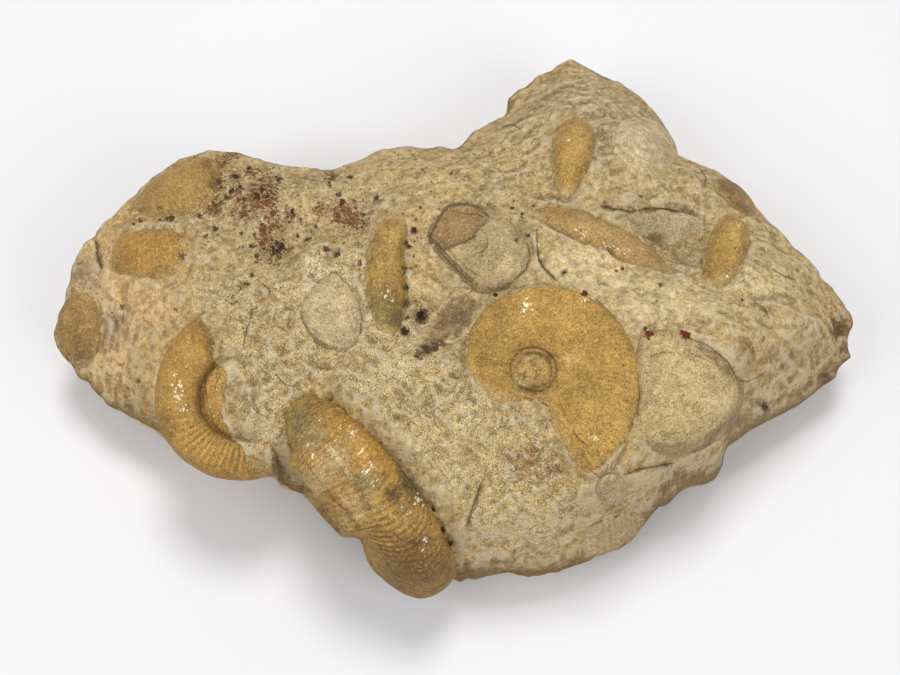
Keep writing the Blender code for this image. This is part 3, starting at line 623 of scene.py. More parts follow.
# ------------------------------------------------------------------ shells seen by their outline
# ring: the outline in the picture; rise: how far the middle stands out, mm;
# sink: how far the stone's edge drops at the outline; long: bearing of the growth axis
SHELLS = {
    "ammonite_back_far": dict(
        ring=[(566, 120), (578, 118), (589, 123), (593, 135), (592, 149), (587, 166), (580, 181),
              (571, 196), (562, 200), (557, 188), (556, 172), (555, 152), (558, 134)],
        rise=2.4, deep=4.5, long=80, kind="keel"),
    "ammonite_back_band": dict(
        ring=[(538, 212), (545, 207), (556, 207), (570, 210), (595, 220), (612, 226), (626, 232),
              (640, 240), (653, 249), (665, 260), (669, 269), (658, 273), (641, 266), (622, 253),
              (606, 249), (590, 244), (574, 238), (560, 233), (548, 226), (539, 219)],
        rise=2.2, deep=4.2, long=-25, kind="keel"),
    "ammonite_back_right": dict(
        ring=[(726, 215), (738, 214), (746, 220), (747, 234), (745, 250), (738, 267), (730, 281),
              (717, 284), (704, 278), (703, 264), (709, 248), (714, 233), (719, 221)],
        rise=2.4, deep=4.5, long=66, kind="keel"),
    "ammonite_back_middle": dict(
        ring=[(390, 216), (402, 216), (408, 226), (404, 240), (402, 258), (402, 275), (406, 290),
              (408, 303), (402, 318), (398, 332), (386, 333), (376, 322), (370, 306), (367, 285),
              (368, 263), (372, 243), (379, 227)],
        rise=2.8, deep=4.8, long=93, kind="keel"),
    "ammonite_flank_left": dict(
        ring=[(121, 236), (134, 232), (152, 230), (172, 231), (185, 236), (187, 248), (181, 260),
              (174, 272), (161, 280), (148, 276), (130, 274), (114, 273), (109, 264), (113, 250)],
        rise=1.5, deep=4.0, long=3, kind="plate"),
    "ammonite_back_corner": dict(
        ring=[(131, 205), (142, 192), (156, 179), (172, 168), (190, 160), (208, 157), (218, 164),
              (220, 178), (215, 191), (207, 203), (195, 213), (178, 217), (160, 217), (142, 214)],
        rise=2.2, deep=5.2, long=30, kind="plate"),
    "ammonite_scrap_right": dict(
        ring=[(715, 180), (724, 179), (736, 184), (747, 194), (755, 205), (755, 214), (746, 216),
              (735, 208), (724, 197), (716, 189)],
        rise=1.6, deep=3.8, long=-44, kind="plate"),
    "ammonite_knob_left": dict(
        ring=[(57, 326), (60, 310), (68, 298), (80, 292), (92, 298), (98, 312), (99, 330),
              (96, 348), (88, 362), (76, 366), (65, 356), (59, 342)],
        rise=2.0, deep=5.0, long=82, kind="plate"),
    "shell_tilted": dict(
        ring=[(448, 206), (462, 204), (477, 206), (488, 207), (500, 216), (515, 227), (525, 240),
              (529, 254), (526, 266), (514, 278), (497, 289), (482, 290), (472, 284), (460, 273),
              (447, 261), (436, 247), (430, 237), (437, 221)],
        rise=1.3, deep=4.2, long=-14, kind="valve"),
    "shell_oval_left": dict(
        ring=[(334, 271), (343, 281), (353, 294), (360, 310), (361, 326), (356, 339), (344, 349),
              (331, 347), (316, 339), (306, 326), (302, 312), (306, 297), (317, 284), (328, 276)],
        rise=0.65, deep=3.6, long=-76, kind="flatvalve", flatten=0.6),
    "shell_round_right": dict(
        ring=[(643, 342), (655, 336), (671, 335), (690, 340), (708, 349), (724, 361), (736, 375),
              (740, 390), (736, 405), (726, 420), (711, 433), (693, 443), (675, 447), (656, 443),
              (643, 432), (640, 412), (642, 390), (641, 364)],
        rise=0.65, deep=3.2, long=-62, kind="flatvalve", flatten=0.80),
    "shell_dark_hollow": dict(
        ring=[(461, 291), (472, 292), (484, 297), (480, 313), (470, 328), (458, 338), (444, 346),
              (428, 352), (414, 355), (421, 341), (431, 326), (440, 310), (449, 299)],
        rise=0.3, deep=3.2, long=40, kind="dark"),
    "shell_dome_far": dict(
        ring=[(612, 136), (619, 125), (632, 118), (648, 118), (662, 125), (671, 136), (674, 150),
              (670, 163), (659, 171), (643, 172), (628, 164), (616, 152)],
        rise=1.7, deep=4.5, long=-50, kind="dome"),
    "shell_lens_hollow": dict(
        ring=[(628, 221), (640, 215), (655, 213), (672, 214), (688, 216), (699, 222), (697, 231),
              (684, 237), (666, 240), (648, 239), (634, 232)],
        rise=0.4, deep=3.0, long=0, kind="dark"),
    "shell_ribbed_front": dict(
        ring=[(582, 545), (588, 533), (600, 525), (616, 520), (632, 518), (645, 521), (643, 532),
              (632, 542), (616, 548), (598, 551), (586, 551)],
        rise=1.2, deep=3.0, long=24, kind="ribbed"),
    "shell_small_front": dict(
        ring=[(596, 489), (600, 479), (610, 474), (621, 478), (627, 487), (624, 498), (614, 504),
              (602, 501)],
        rise=1.5, deep=3.0, long=0, kind="smooth"),
}

for spec in SHELLS.values():
    ring = np.array(spec["ring"], float)
    mid = ring.mean(0)
    spec["mid_px"] = mid
    spec["ring_mm"] = np.array([on_top(*p) for p in ring])
    spec["mid_mm"] = on_top(*mid)
    flat = np.column_stack([spec["ring_mm"][:, :2], np.ones(len(ring))])
    spec["plane"] = np.linalg.lstsq(flat, spec["ring_mm"][:, 2], rcond=None)[0]


def ring_share(xy, spec):
    """0 in the middle of a shell, 1 on its outline, over points xy (mm)."""
    ring = spec["ring_mm"][:, :2] - spec["mid_mm"][:2]
    bearing = np.arctan2(ring[:, 1], ring[:, 0])
    order = np.argsort(bearing)
    b, rr = bearing[order], np.hypot(*ring[order].T)
    b = np.concatenate([b[-3:] - 2 * math.pi, b, b[:3] + 2 * math.pi])
    rr = np.concatenate([rr[-3:], rr, rr[:3]])
    rel = xy - spec["mid_mm"][:2]
    a = np.arctan2(rel[:, 1], rel[:, 0])
    reach = np.interp(a, b, rr)
    for off in (-0.05, 0.05):
        reach = reach + np.interp((a + off + math.pi) % (2 * math.pi) - math.pi, b, rr)
    return np.hypot(rel[:, 0], rel[:, 1]) / (reach / 3)


def ground(xy, spec, s=None):
    """The stone's level under a shell: its own plane as far as the shell is flat."""
    base = height(xy)
    if "flatten" in spec:
        s = ring_share(xy, spec) if s is None else s
        level = np.column_stack([xy, np.ones(len(xy))]) @ spec["plane"]
        base = base + spec["flatten"] * smooth(1.20, 0.95, s) * (level - base)
    return base


def shell_surface(name, spec, around=150, tops=34, lows=12):
    full = 1.16
    bearing = np.arange(around) / around * 2 * math.pi
    ray = np.column_stack([np.cos(bearing), np.sin(bearing)])
    edge = 1 / ring_share(spec["mid_mm"][:2] + ray, spec)
    a_top = np.linspace(0.03, 1, tops)
    a_low = np.linspace(1, 0.0, lows + 1)[1:-1]
    power = {"plate": 3.4, "flatvalve": 4.2, "valve": 2.3, "smooth": 2.8, "dark": 2.4, "dome": 2.2, "keel": 2.2}.get(
        spec["kind"], 2.3
    )
    rows, zs, up = [], [], []
    at_edge = (1 - (1 / full) ** power) ** (1 / power)
    scale = spec["rise"] / (1 - at_edge)
    for t in a_top:
        s = full * math.sin(t * math.pi / 2)
        w = max(1 - (s / full) ** power, 0.0) ** (1 / power)
        rows.append(s)
        zs.append(scale * (w - at_edge))
        up.append(True)
    floor = zs[-1]
    for t in a_low:
        rows.append(full * t)
        zs.append(floor - spec["deep"] * (1 - t**3) ** 0.5)
        up.append(False)
    pts = []
    for s, z in zip(rows, zs):
        xy = spec["mid_mm"][:2] + ray * (edge * s)[:, None]
        pts.append(np.column_stack([xy, np.full(around, z)]))
    pts = np.concatenate(pts)
    shares = np.repeat(rows, around)
    tops_mask = np.repeat(up, around)
    base = ground(pts[:, :2], spec)
    # the low side follows the ground at the middle, so that it stays one smooth body
    local = pts.copy()
    a = math.radians(spec["long"])
    rel = pts[:, :2] - spec["mid_mm"][:2]
    x = rel[:, 0] * math.cos(a) + rel[:, 1] * math.sin(a)
    y = -rel[:, 0] * math.sin(a) + rel[:, 1] * math.cos(a)
    pos = np.column_stack([x, y, np.zeros(len(x))])
    line = np.zeros(len(x))
    seed = sum(map(ord, name))
    kind = spec["kind"]
    lift = 0.08 * noise(pos + seed, 4.0, 61) + 0.05 * noise(pos + seed, 1.0, 62)
    if kind == "keel":
        wander = noise(pos + seed, 6.0, 63)
        line = np.sin(x * 2 * math.pi / 1.05 + 2.2 * wander + 0.06 * y * y)
        line = line * (0.2 + 0.5 * smooth(-0.2, 0.6, noise(pos + seed, 4.0, 64)))
        lift = lift + 0.010 * line + 0.16 * noise(pos + seed, 5.5, 68)
    elif kind == "plate":
        wander = noise(pos + seed, 7.0, 63)
        line = 0.7 * np.sin(x * 2 * math.pi / 1.1 + 2.5 * wander + 0.3 * y)
        lift = lift + 0.03 * line + 0.12 * noise(pos + seed, 6.0, 65)
    elif kind == "valve":
        r = np.hypot(x * 0.9 + 3.5, y)
        line = np.sin(r * 2 * math.pi / 1.25 + 1.2 * noise(pos + seed, 6.0, 63))
        lift = lift + 0.02 * line
    elif kind == "ribbed":
        line = np.cos(x * 2 * math.pi / 1.55 + 0.25 * y)
        lift = lift + 0.24 * line
    elif kind == "dome":
        r = np.hypot(x, y)
        line = np.sin(r * 2 * math.pi / 2.1 + 1.5 * noise(pos + seed, 5.0, 63))
        lift = lift + 0.03 * line + 0.30 * noise(pos + seed, 3.2, 66)
    elif kind == "dark":
        lift = lift + 0.20 * noise(pos + seed, 2.2, 66)
        line = noise(pos * (0.5, 2.0, 1.0) + seed, 1.4, 67)
    elif kind in ("smooth", "flatvalve"):
        lift = lift + 0.14 * noise(pos + seed, 7.0, 66)
        line = 0.5 * np.sin(np.hypot(x - 6, y) * 2 * math.pi / 2.0)
    z = base + pts[:, 2] + np.where(tops_mask, lift, 0)
    if name == "shell_tilted":
        # the brown piece stands a little proud, and the low edge is layered
        uv = seen_at(np.column_stack([pts[:, :2], z]))
        brown = smooth(-0.8, 0.8, inside(uv, TILTED_BROWN))
        z = z + 0.42 * brown * tops_mask
        d, side, _ = along(uv, [(433, 243), (447, 259), (460, 272), (474, 285)])
        z = z - 0.35 * np.clip(np.sin(d * 2 * math.pi / 5.0), -0.3, 1) * smooth(12, 8, d) * tops_mask
        z = z + 0.5 * smooth(24, 4, d) * tops_mask
    pts[:, 2] = z
    top_pole = np.array([[*spec["mid_mm"][:2], pts[:around, 2].mean() + 0.02]])
    low_z = height(spec["mid_mm"][None, :2])[0] + floor - spec["deep"]
    low_pole = np.array([[*spec["mid_mm"][:2], min(low_z, pts[-around:, 2].mean() - 0.1)]])
    verts = np.vstack([pts, top_pole, low_pole])
    count = len(pts)
    faces = lathe_faces(around, len(rows), count, count + 1, 0)
    pad = lambda a, lo: np.concatenate([a, [a[:around].mean(), lo]])
    return verts, faces, dict(
        share=pad(shares, 0.0), line=pad(line, 0.0), x=pad(x, 0), y=pad(y, 0)
    )


TILTED_BROWN = [
    (448, 206), (470, 204), (482, 209), (489, 218), (483, 224), (477, 228), (475, 237),
    (464, 242), (453, 246), (446, 250), (435, 244), (430, 237), (439, 218),
]


# ------------------------------------------------------------------ the block
CENTRE = np.array((-1.0, -24.5))    # the outline is star-shaped round this point
RIM_POINTS = 1040
TOP_STEP = 0.60                     # mm between points of the upper face
WALL_RINGS = 26


def outline_points():
    """The block's outline in the row frame at even steps, mm."""
    rim_uv = np.array([r[:2] for r in RIM], float)
    rim_h = np.array([r[2] for r in RIM], float)
    ends = np.roll(rim_uv, -1, axis=0)
    end_h = np.roll(rim_h, -1)
    pts = []
    for u, v in OUTLINE:
        d = ends - rim_uv
        t = np.clip(((np.array((u, v)) - rim_uv) * d).sum(1) / (d**2).sum(1), 0, 1)
        away = np.hypot(*(rim_uv + d * t[:, None] - (u, v)).T)
        k = int(away.argmin())
        pts.append(spot(u, v, rim_h[k] + (end_h[k] - rim_h[k]) * t[k]))
    pts = np.array(pts)
    closed = np.vstack([pts, pts[:1]])
    steps = np.hypot(*(closed[1:, :2] - closed[:-1, :2]).T)
    walked = np.concatenate([[0], np.cumsum(steps)])
    at = np.arange(RIM_POINTS) / RIM_POINTS * walked[-1]
    out = np.column_stack([np.interp(at, walked, closed[:, k]) for k in range(3)])
    soft = (np.roll(out, 1, 0) + np.roll(out, -1, 0) + np.roll(out, 2, 0) + np.roll(out, -2, 0) + out) / 5
    steep = smooth(16, 28, soft[:, 0]) * smooth(-12, -24, soft[:, 1])
    for _ in range(16):
        even = (np.roll(soft, 1, 0) + np.roll(soft, -1, 0)) / 2
        soft = soft + (even - soft) * (0.6 * steep)[:, None]
    rel = soft[:, :2] - CENTRE
    unit = rel / np.hypot(*rel.T)[:, None]
    rough = 0.36 * noise(soft, 3.4, 11) + 0.28 * noise(soft, 1.6, 12)
    soft[:, :2] += unit * (rough * (1 - 0.6 * steep))[:, None]
    return soft[::-1]                # anticlockwise seen from above


PITS = [
    # u, v, radius in pixels, depth mm
    (421, 316, 5.5, 2.2), (405, 331, 4.2, 1.6), (405, 288, 3.0, 1.2), (406, 303, 3.0, 1.1),
    (414, 231, 3.0, 1.1), (405, 245, 3.2, 0.8), (404, 268, 2.8, 0.9), (842, 327, 8.0, 2.0),
    (298, 468, 5.0, 1.6), (426, 351, 5.0, 1.2), (632, 213, 4.0, 0.9), (700, 221, 4.0, 0.9),
    (829, 379, 4.0, 0.9), (764, 407, 4.0, 1.0), (96, 240, 3.0, 0.7), (227, 326, 4.0, 0.7),
    (286, 432, 4.0, 0.9), (256, 459, 5.0, 0.8), (139, 381, 2.4, 0.8), (516, 372, 2.5, 0.4),
    (690, 210, 3.0, 0.8), (612, 210, 3.0, 0.6), (440, 197, 3.0, 0.5), (553, 196, 3.0, 0.8),
    (312, 232, 3.0, 0.5), (352, 262, 3.0, 0.5), (372, 340, 4.0, 0.8), (747, 180, 3.0, 0.6),
]
BUMPS = [
    (277, 249, 5.0, 1.0), (720, 465, 6.0, 1.0), (103, 370, 8.0, 0.8), (260, 195, 7.0, 0.5),
    (275, 225, 5.0, 0.5), (222, 163, 4.0, 0.5), (343, 215, 5.0, 0.4), (286, 452, 11.0, 0.9),
    (262, 398, 14.0, 0.7), (289, 380, 9.0, 0.6), (322, 345, 9.0, -0.5), (386, 180, 16.0, 0.5),
    (470, 175, 14.0, -0.5), (300, 190, 18.0, 0.5), (450, 380, 16.0, 0.5), (600, 480, 12.0, 0.4),
]
# cuts (negative) and ridges (positive): points, half width in pixels, height mm
LINES = [
    ([(481, 483), (476, 500), (470, 516), (466, 530)], 2.2, -0.55),
    ([(624, 475), (640, 469), (658, 466), (675, 463)], 2.6, -0.60),
    ([(537, 247), (538, 256), (541, 265), (548, 274), (556, 280)], 2.0, -0.60),
    ([(96, 240), (97, 250), (101, 269)], 2.0, -0.70),
    ([(252, 390), (253, 402), (260, 414)], 2.0, -0.45),
    ([(640, 368), (642, 388), (640, 404), (635, 419)], 2.6, -0.9),
    ([(286, 255), (305, 249), (330, 245), (365, 252), (400, 262)], 3.0, 0.35),
    ([(408, 262), (424, 272), (440, 284), (452, 296)], 3.0, -0.5),
    ([(262, 366), (270, 352), (268, 340), (256, 333), (244, 336)], 2.4, 0.5),
    ([(280, 372), (292, 370), (298, 380), (292, 390)], 2.2, 0.5),
    ([(640, 208), (655, 208), (676, 210), (692, 216), (702, 220)], 2.6, -1.5),
    ([(602, 206), (615, 209), (632, 212)], 2.4, -0.7),
    ([(620, 196), (648, 200), (676, 199), (704, 205)], 3.0, 0.5),
    ([(642, 438), (656, 450), (680, 455), (706, 446), (728, 430)], 2.2, -0.5),
    ([(742, 392), (752, 402), (768, 404), (790, 396), (812, 386)], 2.5, -0.5),
    ([(752, 300), (780, 305), (806, 318), (824, 322)], 2.5, 0.5),
    ([(744, 318), (768, 326), (800, 330)], 2.5, -0.5),
    ([(490, 470), (515, 462), (545, 466), (566, 474)], 2.4, -0.35),
    ([(455, 500), (470, 470), (482, 448)], 2.6, 0.35),
    ([(540, 110), (556, 104), (580, 98), (604, 100), (622, 112)], 2.6, 0.6),
    ([(520, 140), (536, 128), (552, 118)], 2.6, -0.5),
    ([(690, 170), (700, 188), (703, 206), (700, 222)], 2.6, 0.55),
    ([(602, 160), (604, 178), (600, 196)], 2.6, -0.4),
    ([(466, 150), (480, 162), (500, 172), (528, 178)], 2.8, 0.4),
    ([(335, 205), (352, 216), (372, 212)], 2.6, -0.4),
    ([(108, 228), (128, 222), (160, 221), (190, 224)], 2.4, -0.5),
    ([(190, 240), (192, 262), (184, 282), (166, 292)], 2.4, -0.45),
    ([(70, 372), (86, 366), (98, 350), (104, 330)], 2.6, -0.5),
    ([(104, 300), (114, 318), (118, 340), (114, 360)], 2.4, -0.35),
    ([(122, 306), (132, 326), (134, 348)], 2.4, 0.35),
    ([(205, 330), (216, 322), (232, 322), (246, 330)], 2.4, 0.45),
    ([(300, 362), (322, 372), (350, 372), (380, 384)], 2.8, 0.45),
    ([(398, 366), (420, 372), (442, 372), (462, 384)], 2.8, -0.4),
    ([(430, 406), (446, 420), (456, 440), (456, 462)], 2.8, 0.45),
]


def mark_lines(uv, z):
    for pts, wide, amount in LINES:
        pts = np.asarray(pts, float)
        low, high = pts.min(0) - 5 * wide, pts.max(0) + 5 * wide
        near = ((uv > low) & (uv < high)).all(1)
        if not near.any():
            continue
        d, side, share = along(uv[near], pts)
        ends = smooth(0.0, 0.16, share) * smooth(1.0, 0.84, share)
        z[near] += amount * np.exp(-((d / wide) ** 2)) * ends
        z[near] += 0.35 * abs(amount) * side * np.exp(-((d / (3 * wide)) ** 2)) * ends * smooth(0, 1.2, d)
    return z


def build_block(coils):
    rim = outline_points()
    low, high = rim[:, :2].min(0), rim[:, :2].max(0)
    rows = np.arange(low[1], high[1], TOP_STEP * 0.866)
    cols = np.arange(low[0], high[0], TOP_STEP)
    gx, gy = np.meshgrid(cols, rows)
    gx = gx + (np.arange(len(rows)) % 2)[:, None] * TOP_STEP / 2
    grid = np.column_stack([gx.ravel(), gy.ravel()])
    grid += 0.10 * np.column_stack([
        noise(np.column_stack([grid, grid[:, 0] * 0]), 0.9, 71),
        noise(np.column_stack([grid, grid[:, 0] * 0]), 0.9, 72),
    ])
    ring = rim[:, :2]
    deep = inside(grid, ring)
    keep = deep > 0.42
    grid, deep = grid[keep], deep[keep]
    n = RIM_POINTS
    pts = [Vector(p) for p in np.vstack([ring, grid])]
    edges = [(i, (i + 1) % n) for i in range(n)]
    from mathutils.geometry import delaunay_2d_cdt

    got = delaunay_2d_cdt(pts, edges, [], 1, 1e-5, True)
    xy = np.array([tuple(p) for p in got[0]])
    tris = np.array([f for f in got[2] if len(f) == 3])
    tris = tris[inside(xy[tris].mean(1), ring) > 0]
    rim_index = np.full(n, -1)
    for i, olds in enumerate(got[3]):
        for old in olds:
            if old < n:
                rim_index[old] = i
    deep = inside(xy, ring)
    deep[rim_index] = 0
    a, b, c = xy[tris[:, 0]], xy[tris[:, 1]], xy[tris[:, 2]]
    turn = (b[:, 0] - a[:, 0]) * (c[:, 1] - a[:, 1]) - (b[:, 1] - a[:, 1]) * (c[:, 0] - a[:, 0])
    tris[turn < 0] = tris[turn < 0][:, ::-1]

    # ---------------- the broad relief and the broken surface
    base = height(xy)
    p = np.column_stack([xy, base])
    uv = seen_at(p)
    z = base.copy()
    calm = np.ones(len(xy))          # how rough the stone is at each point
    shell_near = np.full(len(xy), 9.0)
    for name, spec in SHELLS.items():
        s = ring_share(xy, spec)
        shell_near = np.minimum(shell_near, s)
        size = np.sqrt(np.prod(np.ptp(spec["ring_mm"][:, :2], axis=0)))
        calm = np.minimum(calm, 0.30 + 0.70 * smooth(0.0, 2.5, (s - 1) * size / 2))
    lump = 0.60 * noise(p, 12.0, 1) + 0.42 * noise(p, 5.6, 2)
    ridge = 0.34 * (1 - 2 * np.abs(noise(p, 6.4, 3))) + 0.20 * (1 - 2 * np.abs(noise(p, 3.2, 4)))
    grit = 0.17 * noise(p, 2.1, 5) + 0.10 * noise(p, 1.25, 6)
    shelf = noise(p, 9.0, 8)
    step = 0.30 * np.tanh(6 * noise(p + 3.0 * shelf[:, None], 8.0, 9))
    front = smooth(450, 520, uv[:, 1]) + smooth(640, 720, uv[:, 0])
    quiet = 1 - 0.35 * smooth(-6, 8, inside(uv, [(455, 400), (540, 402), (600, 470), (640, 480), (600, 545), (480, 570), (455, 500)]))
    z += (lump * 0.9 + ridge + grit + step) * calm * quiet
    # tooled ground: short criss-cross strokes
    tooled = smooth(-25, 25, inside(uv, [
        (175, 262), (270, 268), (370, 236), (440, 300), (480, 330), (470, 380), (556, 420),
        (560, 470), (600, 500), (560, 552), (470, 570), (455, 500), (400, 430), (330, 380),
        (262, 470), (228, 440), (236, 350), (190, 310)]))
    tooled = np.maximum(tooled, 0.55 * smooth(-20, 25, inside(uv, [
        (505, 110), (570, 70), (650, 112), (760, 220), (830, 300), (740, 340), (640, 290),
        (600, 200), (520, 200), (470, 150)])))
    tooled = np.maximum(tooled, 0.35)
    for turn_deg, seed in ((38, 21), (-42, 22), (84, 23)):
        a0 = math.radians(turn_deg)
        q = np.column_stack([
            (p[:, 0] * math.cos(a0) + p[:, 1] * math.sin(a0)) / 4.2,
            (-p[:, 0] * math.sin(a0) + p[:, 1] * math.cos(a0)) / 1.15,
            p[:, 2] / 3.0,
        ])
        q += 0.35 * np.column_stack([noise(p, 5.0, seed + 3), noise(p, 5.0, seed + 4), p[:, 0] * 0])
        stroke = 1 - 2 * np.abs(noise(q, 1.0, seed))
        z += 0.13 * stroke * tooled * calm
    # broken ground: long facets with a crest, each region on its own bearing
    regions = (
        (-14, 9.0, 2.6, 0.62, 101, [(690, 270), (740, 200), (780, 230), (850, 300), (850, 370), (790, 410), (730, 330), (700, 330)]),
        (78, 9.0, 2.8, 0.50, 104, [(60, 320), (80, 240), (130, 280), (150, 300), (160, 400), (100, 400)]),
        (24, 8.0, 2.8, 0.50, 107, [(500, 110), (570, 60), (680, 140), (740, 190), (700, 215), (600, 205), (520, 200), (470, 150)]),
        (-24, 8.0, 2.4, 0.42, 110, [(590, 250), (680, 250), (730, 300), (700, 340), (640, 330), (590, 300)]),
        (8, 9.0, 2.8, 0.34, 113, [(330, 165), (470, 150), (540, 200), (440, 210), (380, 215)]),
        (-40, 6.0, 2.2, 0.40, 116, [(250, 260), (460, 260), (470, 380), (560, 410), (550, 480), (460, 480), (400, 430), (300, 390), (240, 420)]),
        (34, 7.0, 2.4, 0.34, 119, [(460, 470), (560, 470), (640, 480), (600, 550), (470, 575)]),
        (30, 8.0, 2.6, 0.40, 122, [(640, 440), (720, 430), (840, 360), (850, 390), (740, 450), (660, 500)]),
    )
    broken = np.zeros(len(xy))
    for turn_deg, length, across, amount, seed, region in regions:
        a0 = math.radians(turn_deg)
        q = np.column_stack([
            (p[:, 0] * math.cos(a0) + p[:, 1] * math.sin(a0)) / length,
            (-p[:, 0] * math.sin(a0) + p[:, 1] * math.cos(a0)) / across,
            p[:, 2] / 6.0,
        ])
        q += 0.30 * np.column_stack([noise(p, 7.0, seed + 1), noise(p, 7.0, seed + 2), p[:, 0] * 0])
        fold = 1 - 2 * np.abs(noise(q, 1.0, seed)) + 0.45 * (1 - 2 * np.abs(noise(q * 2.1, 1.0, seed + 1)))
        here = smooth(-14, 14, inside(uv, region))
        broken = np.maximum(broken, here)
        z += amount * (fold - 0.6) * here * calm
    z = mark_lines(uv, z)
    for u, v, r, deepness in PITS:
        d = np.hypot(uv[:, 0] - u, uv[:, 1] - v) / r
        z -= deepness * np.exp(-(d**2) * 0.9)
    for u, v, r, up in BUMPS:
        d = np.hypot(uv[:, 0] - u, uv[:, 1] - v) / r
        z += up * np.exp(-(d**2))
    # the edge breaks away in a rounded lip
    z -= 1.1 * (1 - np.sqrt(1 - (1 - np.clip(deep / 2.6, 0, 1)) ** 2))

    # ---------------- seats of the fossils
    carve = np.zeros(len(xy))
    edge_gold = np.zeros(len(xy))
    ragged = 1 + 0.045 * noise(p, 3.6, 83) + 0.035 * noise(p, 1.5, 84)
    for name, spec in SHELLS.items():
        s = ring_share(xy, spec) * ragged
        drop = (1.5 + 0.25 * spec["rise"]) * smooth(0.985, 0.86, s)
        z = np.where(s < 1, np.minimum(z, ground(xy, spec, s) - drop + 0.10), z)
        carve = np.maximum(carve, drop)
        if name.startswith("ammonite"):
            edge_gold = np.maximum(edge_gold, smooth(1.16, 1.0, s))
        if name in ("shell_round_right", "shell_tilted", "shell_oval_left", "ammonite_back_right", "shell_dark_hollow", "ammonite_back_far"):
            moat = np.exp(-(((s - 1.03) / 0.035) ** 2))
            z -= 0.40 * moat
    for name, (verts, faces, data) in coils.items():
        spec = COILS[name]
        tree = tree_of(verts, faces)
        lo, hi = verts[:, :2].min(0) - 1, verts[:, :2].max(0) + 1
        near = np.flatnonzero(((xy > lo) & (xy < hi)).all(1))
        top, facing = drop_on(tree, xy[near])
        hit = ~np.isnan(top)
        near, top, facing = near[hit], top[hit], facing[hit]
        seen = inside(seen_at(np.column_stack([xy[near], top])), spec["exposed"])
        seen = seen + 1.6 * noise(p[near], 2.2, 85) + 0.8 * noise(p[near], 1.0, 86)
        bare = np.minimum(
            z[near], top - 0.08 - spec["depth"] * smooth(0, 9, seen) * smooth(0.10, 0.45, facing)
        )
        bare = np.maximum(bare, z[near] - (3.4 if name == "ammonite_standing" else 9.0))
        skin = (ridge + grit)[near] * (0.3 if name == "ammonite_flat" else 0.8)
        cover = np.maximum(z[near], top + spec["lip"] * (1 + 0.5 * noise(p[near], 3.0, 81)) + skin)
        if name == "ammonite_standing":
            # past the outline the stone only laps a little way up the flank
            cover = np.where(cover - z[near] > 2.6, z[near], cover)
        z[near] = np.where(seen > 0, np.where(facing > 0.10, bare, z[near]), cover)
        edge_gold[near] = np.maximum(edge_gold[near], smooth(-7, 0, seen))
        carve[near] = np.maximum(carve[near], smooth(0, 5, seen))
    z = np.maximum(z, 3.0)

    # ---------------- hollows and crests, from the height against its neighbourhood; the stone's material paints them as shade and highlight
    links = np.vstack([tris[:, [0, 1]], tris[:, [1, 2]], tris[:, [2, 0]]])
    count = np.bincount(links.ravel(), minlength=len(xy)).astype(float)
    def spread(field, times):
        for _ in range(times):
            near_sum = np.bincount(links[:, 0], field[links[:, 1]], len(xy))
            near_sum += np.bincount(links[:, 1], field[links[:, 0]], len(xy))
            field = 0.4 * field + 0.6 * near_sum / count
        return field
    wide = spread(z, 40)
    fine = spread(z, 5)
    hollow = np.clip((wide - z) / 1.2, -1, 1)
    crevice = np.clip((fine - z) / 0.35, -1, 1)
    carved = (carve > 0.05).astype(float)
    crevice = crevice * (1 - 0.85 * np.clip(2.4 * spread(carved, 9), 0, 1))
    hollow = hollow * (1 - 0.70 * np.clip(2.2 * spread(carved, 14), 0, 1))

    # ---------------- the wall under the rim and the foot
    top_count = len(xy)
    verts = [np.column_stack([xy, z])]
    wall_rim = np.column_stack([xy[rim_index], z[rim_index]])
    rel = wall_rim[:, :2] - CENTRE
    bearing = np.arctan2(rel[:, 1], rel[:, 0])
    foot = FOOT + 0.05 * np.sin(2 * bearing + 0.8) + 0.03 * np.sin(5 * bearing)
    unit = rel / np.hypot(*rel.T)[:, None]
    faces = [tris]
    last = rim_index
    start = top_count
    for k in range(1, WALL_RINGS + 1):
        w = 1 - k / WALL_RINGS
        w = w**1.15
        s = 1 - (1 - foot) * (1 - w) ** 1.4
        ring_z = wall_rim[:, 2] * w
        at = np.column_stack([CENTRE + rel * s[:, None], ring_z])
        steady = at + 40.0
        rough = 1.5 * noise(steady, 11.0, 13) + 0.9 * (1 - 2 * np.abs(noise(steady, 7.0, 14)))
        rough += 0.45 * noise(steady, 3.0, 15) + 0.22 * noise(steady, 1.4, 16)
        fade = smooth(0.0, 0.22, (1 - w)) * (0.45 + 0.55 * smooth(0.0, 0.2, w))
        at[:, :2] += unit * (rough * fade - 0.25 * fade)[:, None]
        at[:, 2] += 0.5 * noise(steady, 4.0, 18) * smooth(0.0, 0.2, w) * smooth(0.0, 0.2, 1 - w)
        if k == WALL_RINGS:
            at[:, 2] = 0.0
        verts.append(at)
        now = start + np.arange(n)
        nxt = np.roll(now, -1)
        faces.append(np.column_stack([last, now, nxt, np.roll(last, -1)]))
        last = now
        start += n
    foot_ring = verts[-1][:, :2]
    low, high = foot_ring.min(0), foot_ring.max(0)
    fx, fy = np.meshgrid(np.arange(low[0], high[0], 2.2), np.arange(low[1], high[1], 1.9))
    fx = fx + (np.arange(fx.shape[0]) % 2)[:, None] * 1.1
    inner = np.column_stack([fx.ravel(), fy.ravel()])
    inner = inner[inside(inner, foot_ring) > 1.0]
    got = delaunay_2d_cdt(
        [Vector(q) for q in np.vstack([foot_ring, inner])], edges, [], 1, 1e-5, True
    )
    under_xy = np.array([tuple(q) for q in got[0]])
    under_tris = np.array([f for f in got[2] if len(f) == 3])
    under_tris = under_tris[inside(under_xy[under_tris].mean(1), foot_ring) > 0]
    a, b, c = (under_xy[under_tris[:, k]] for k in range(3))
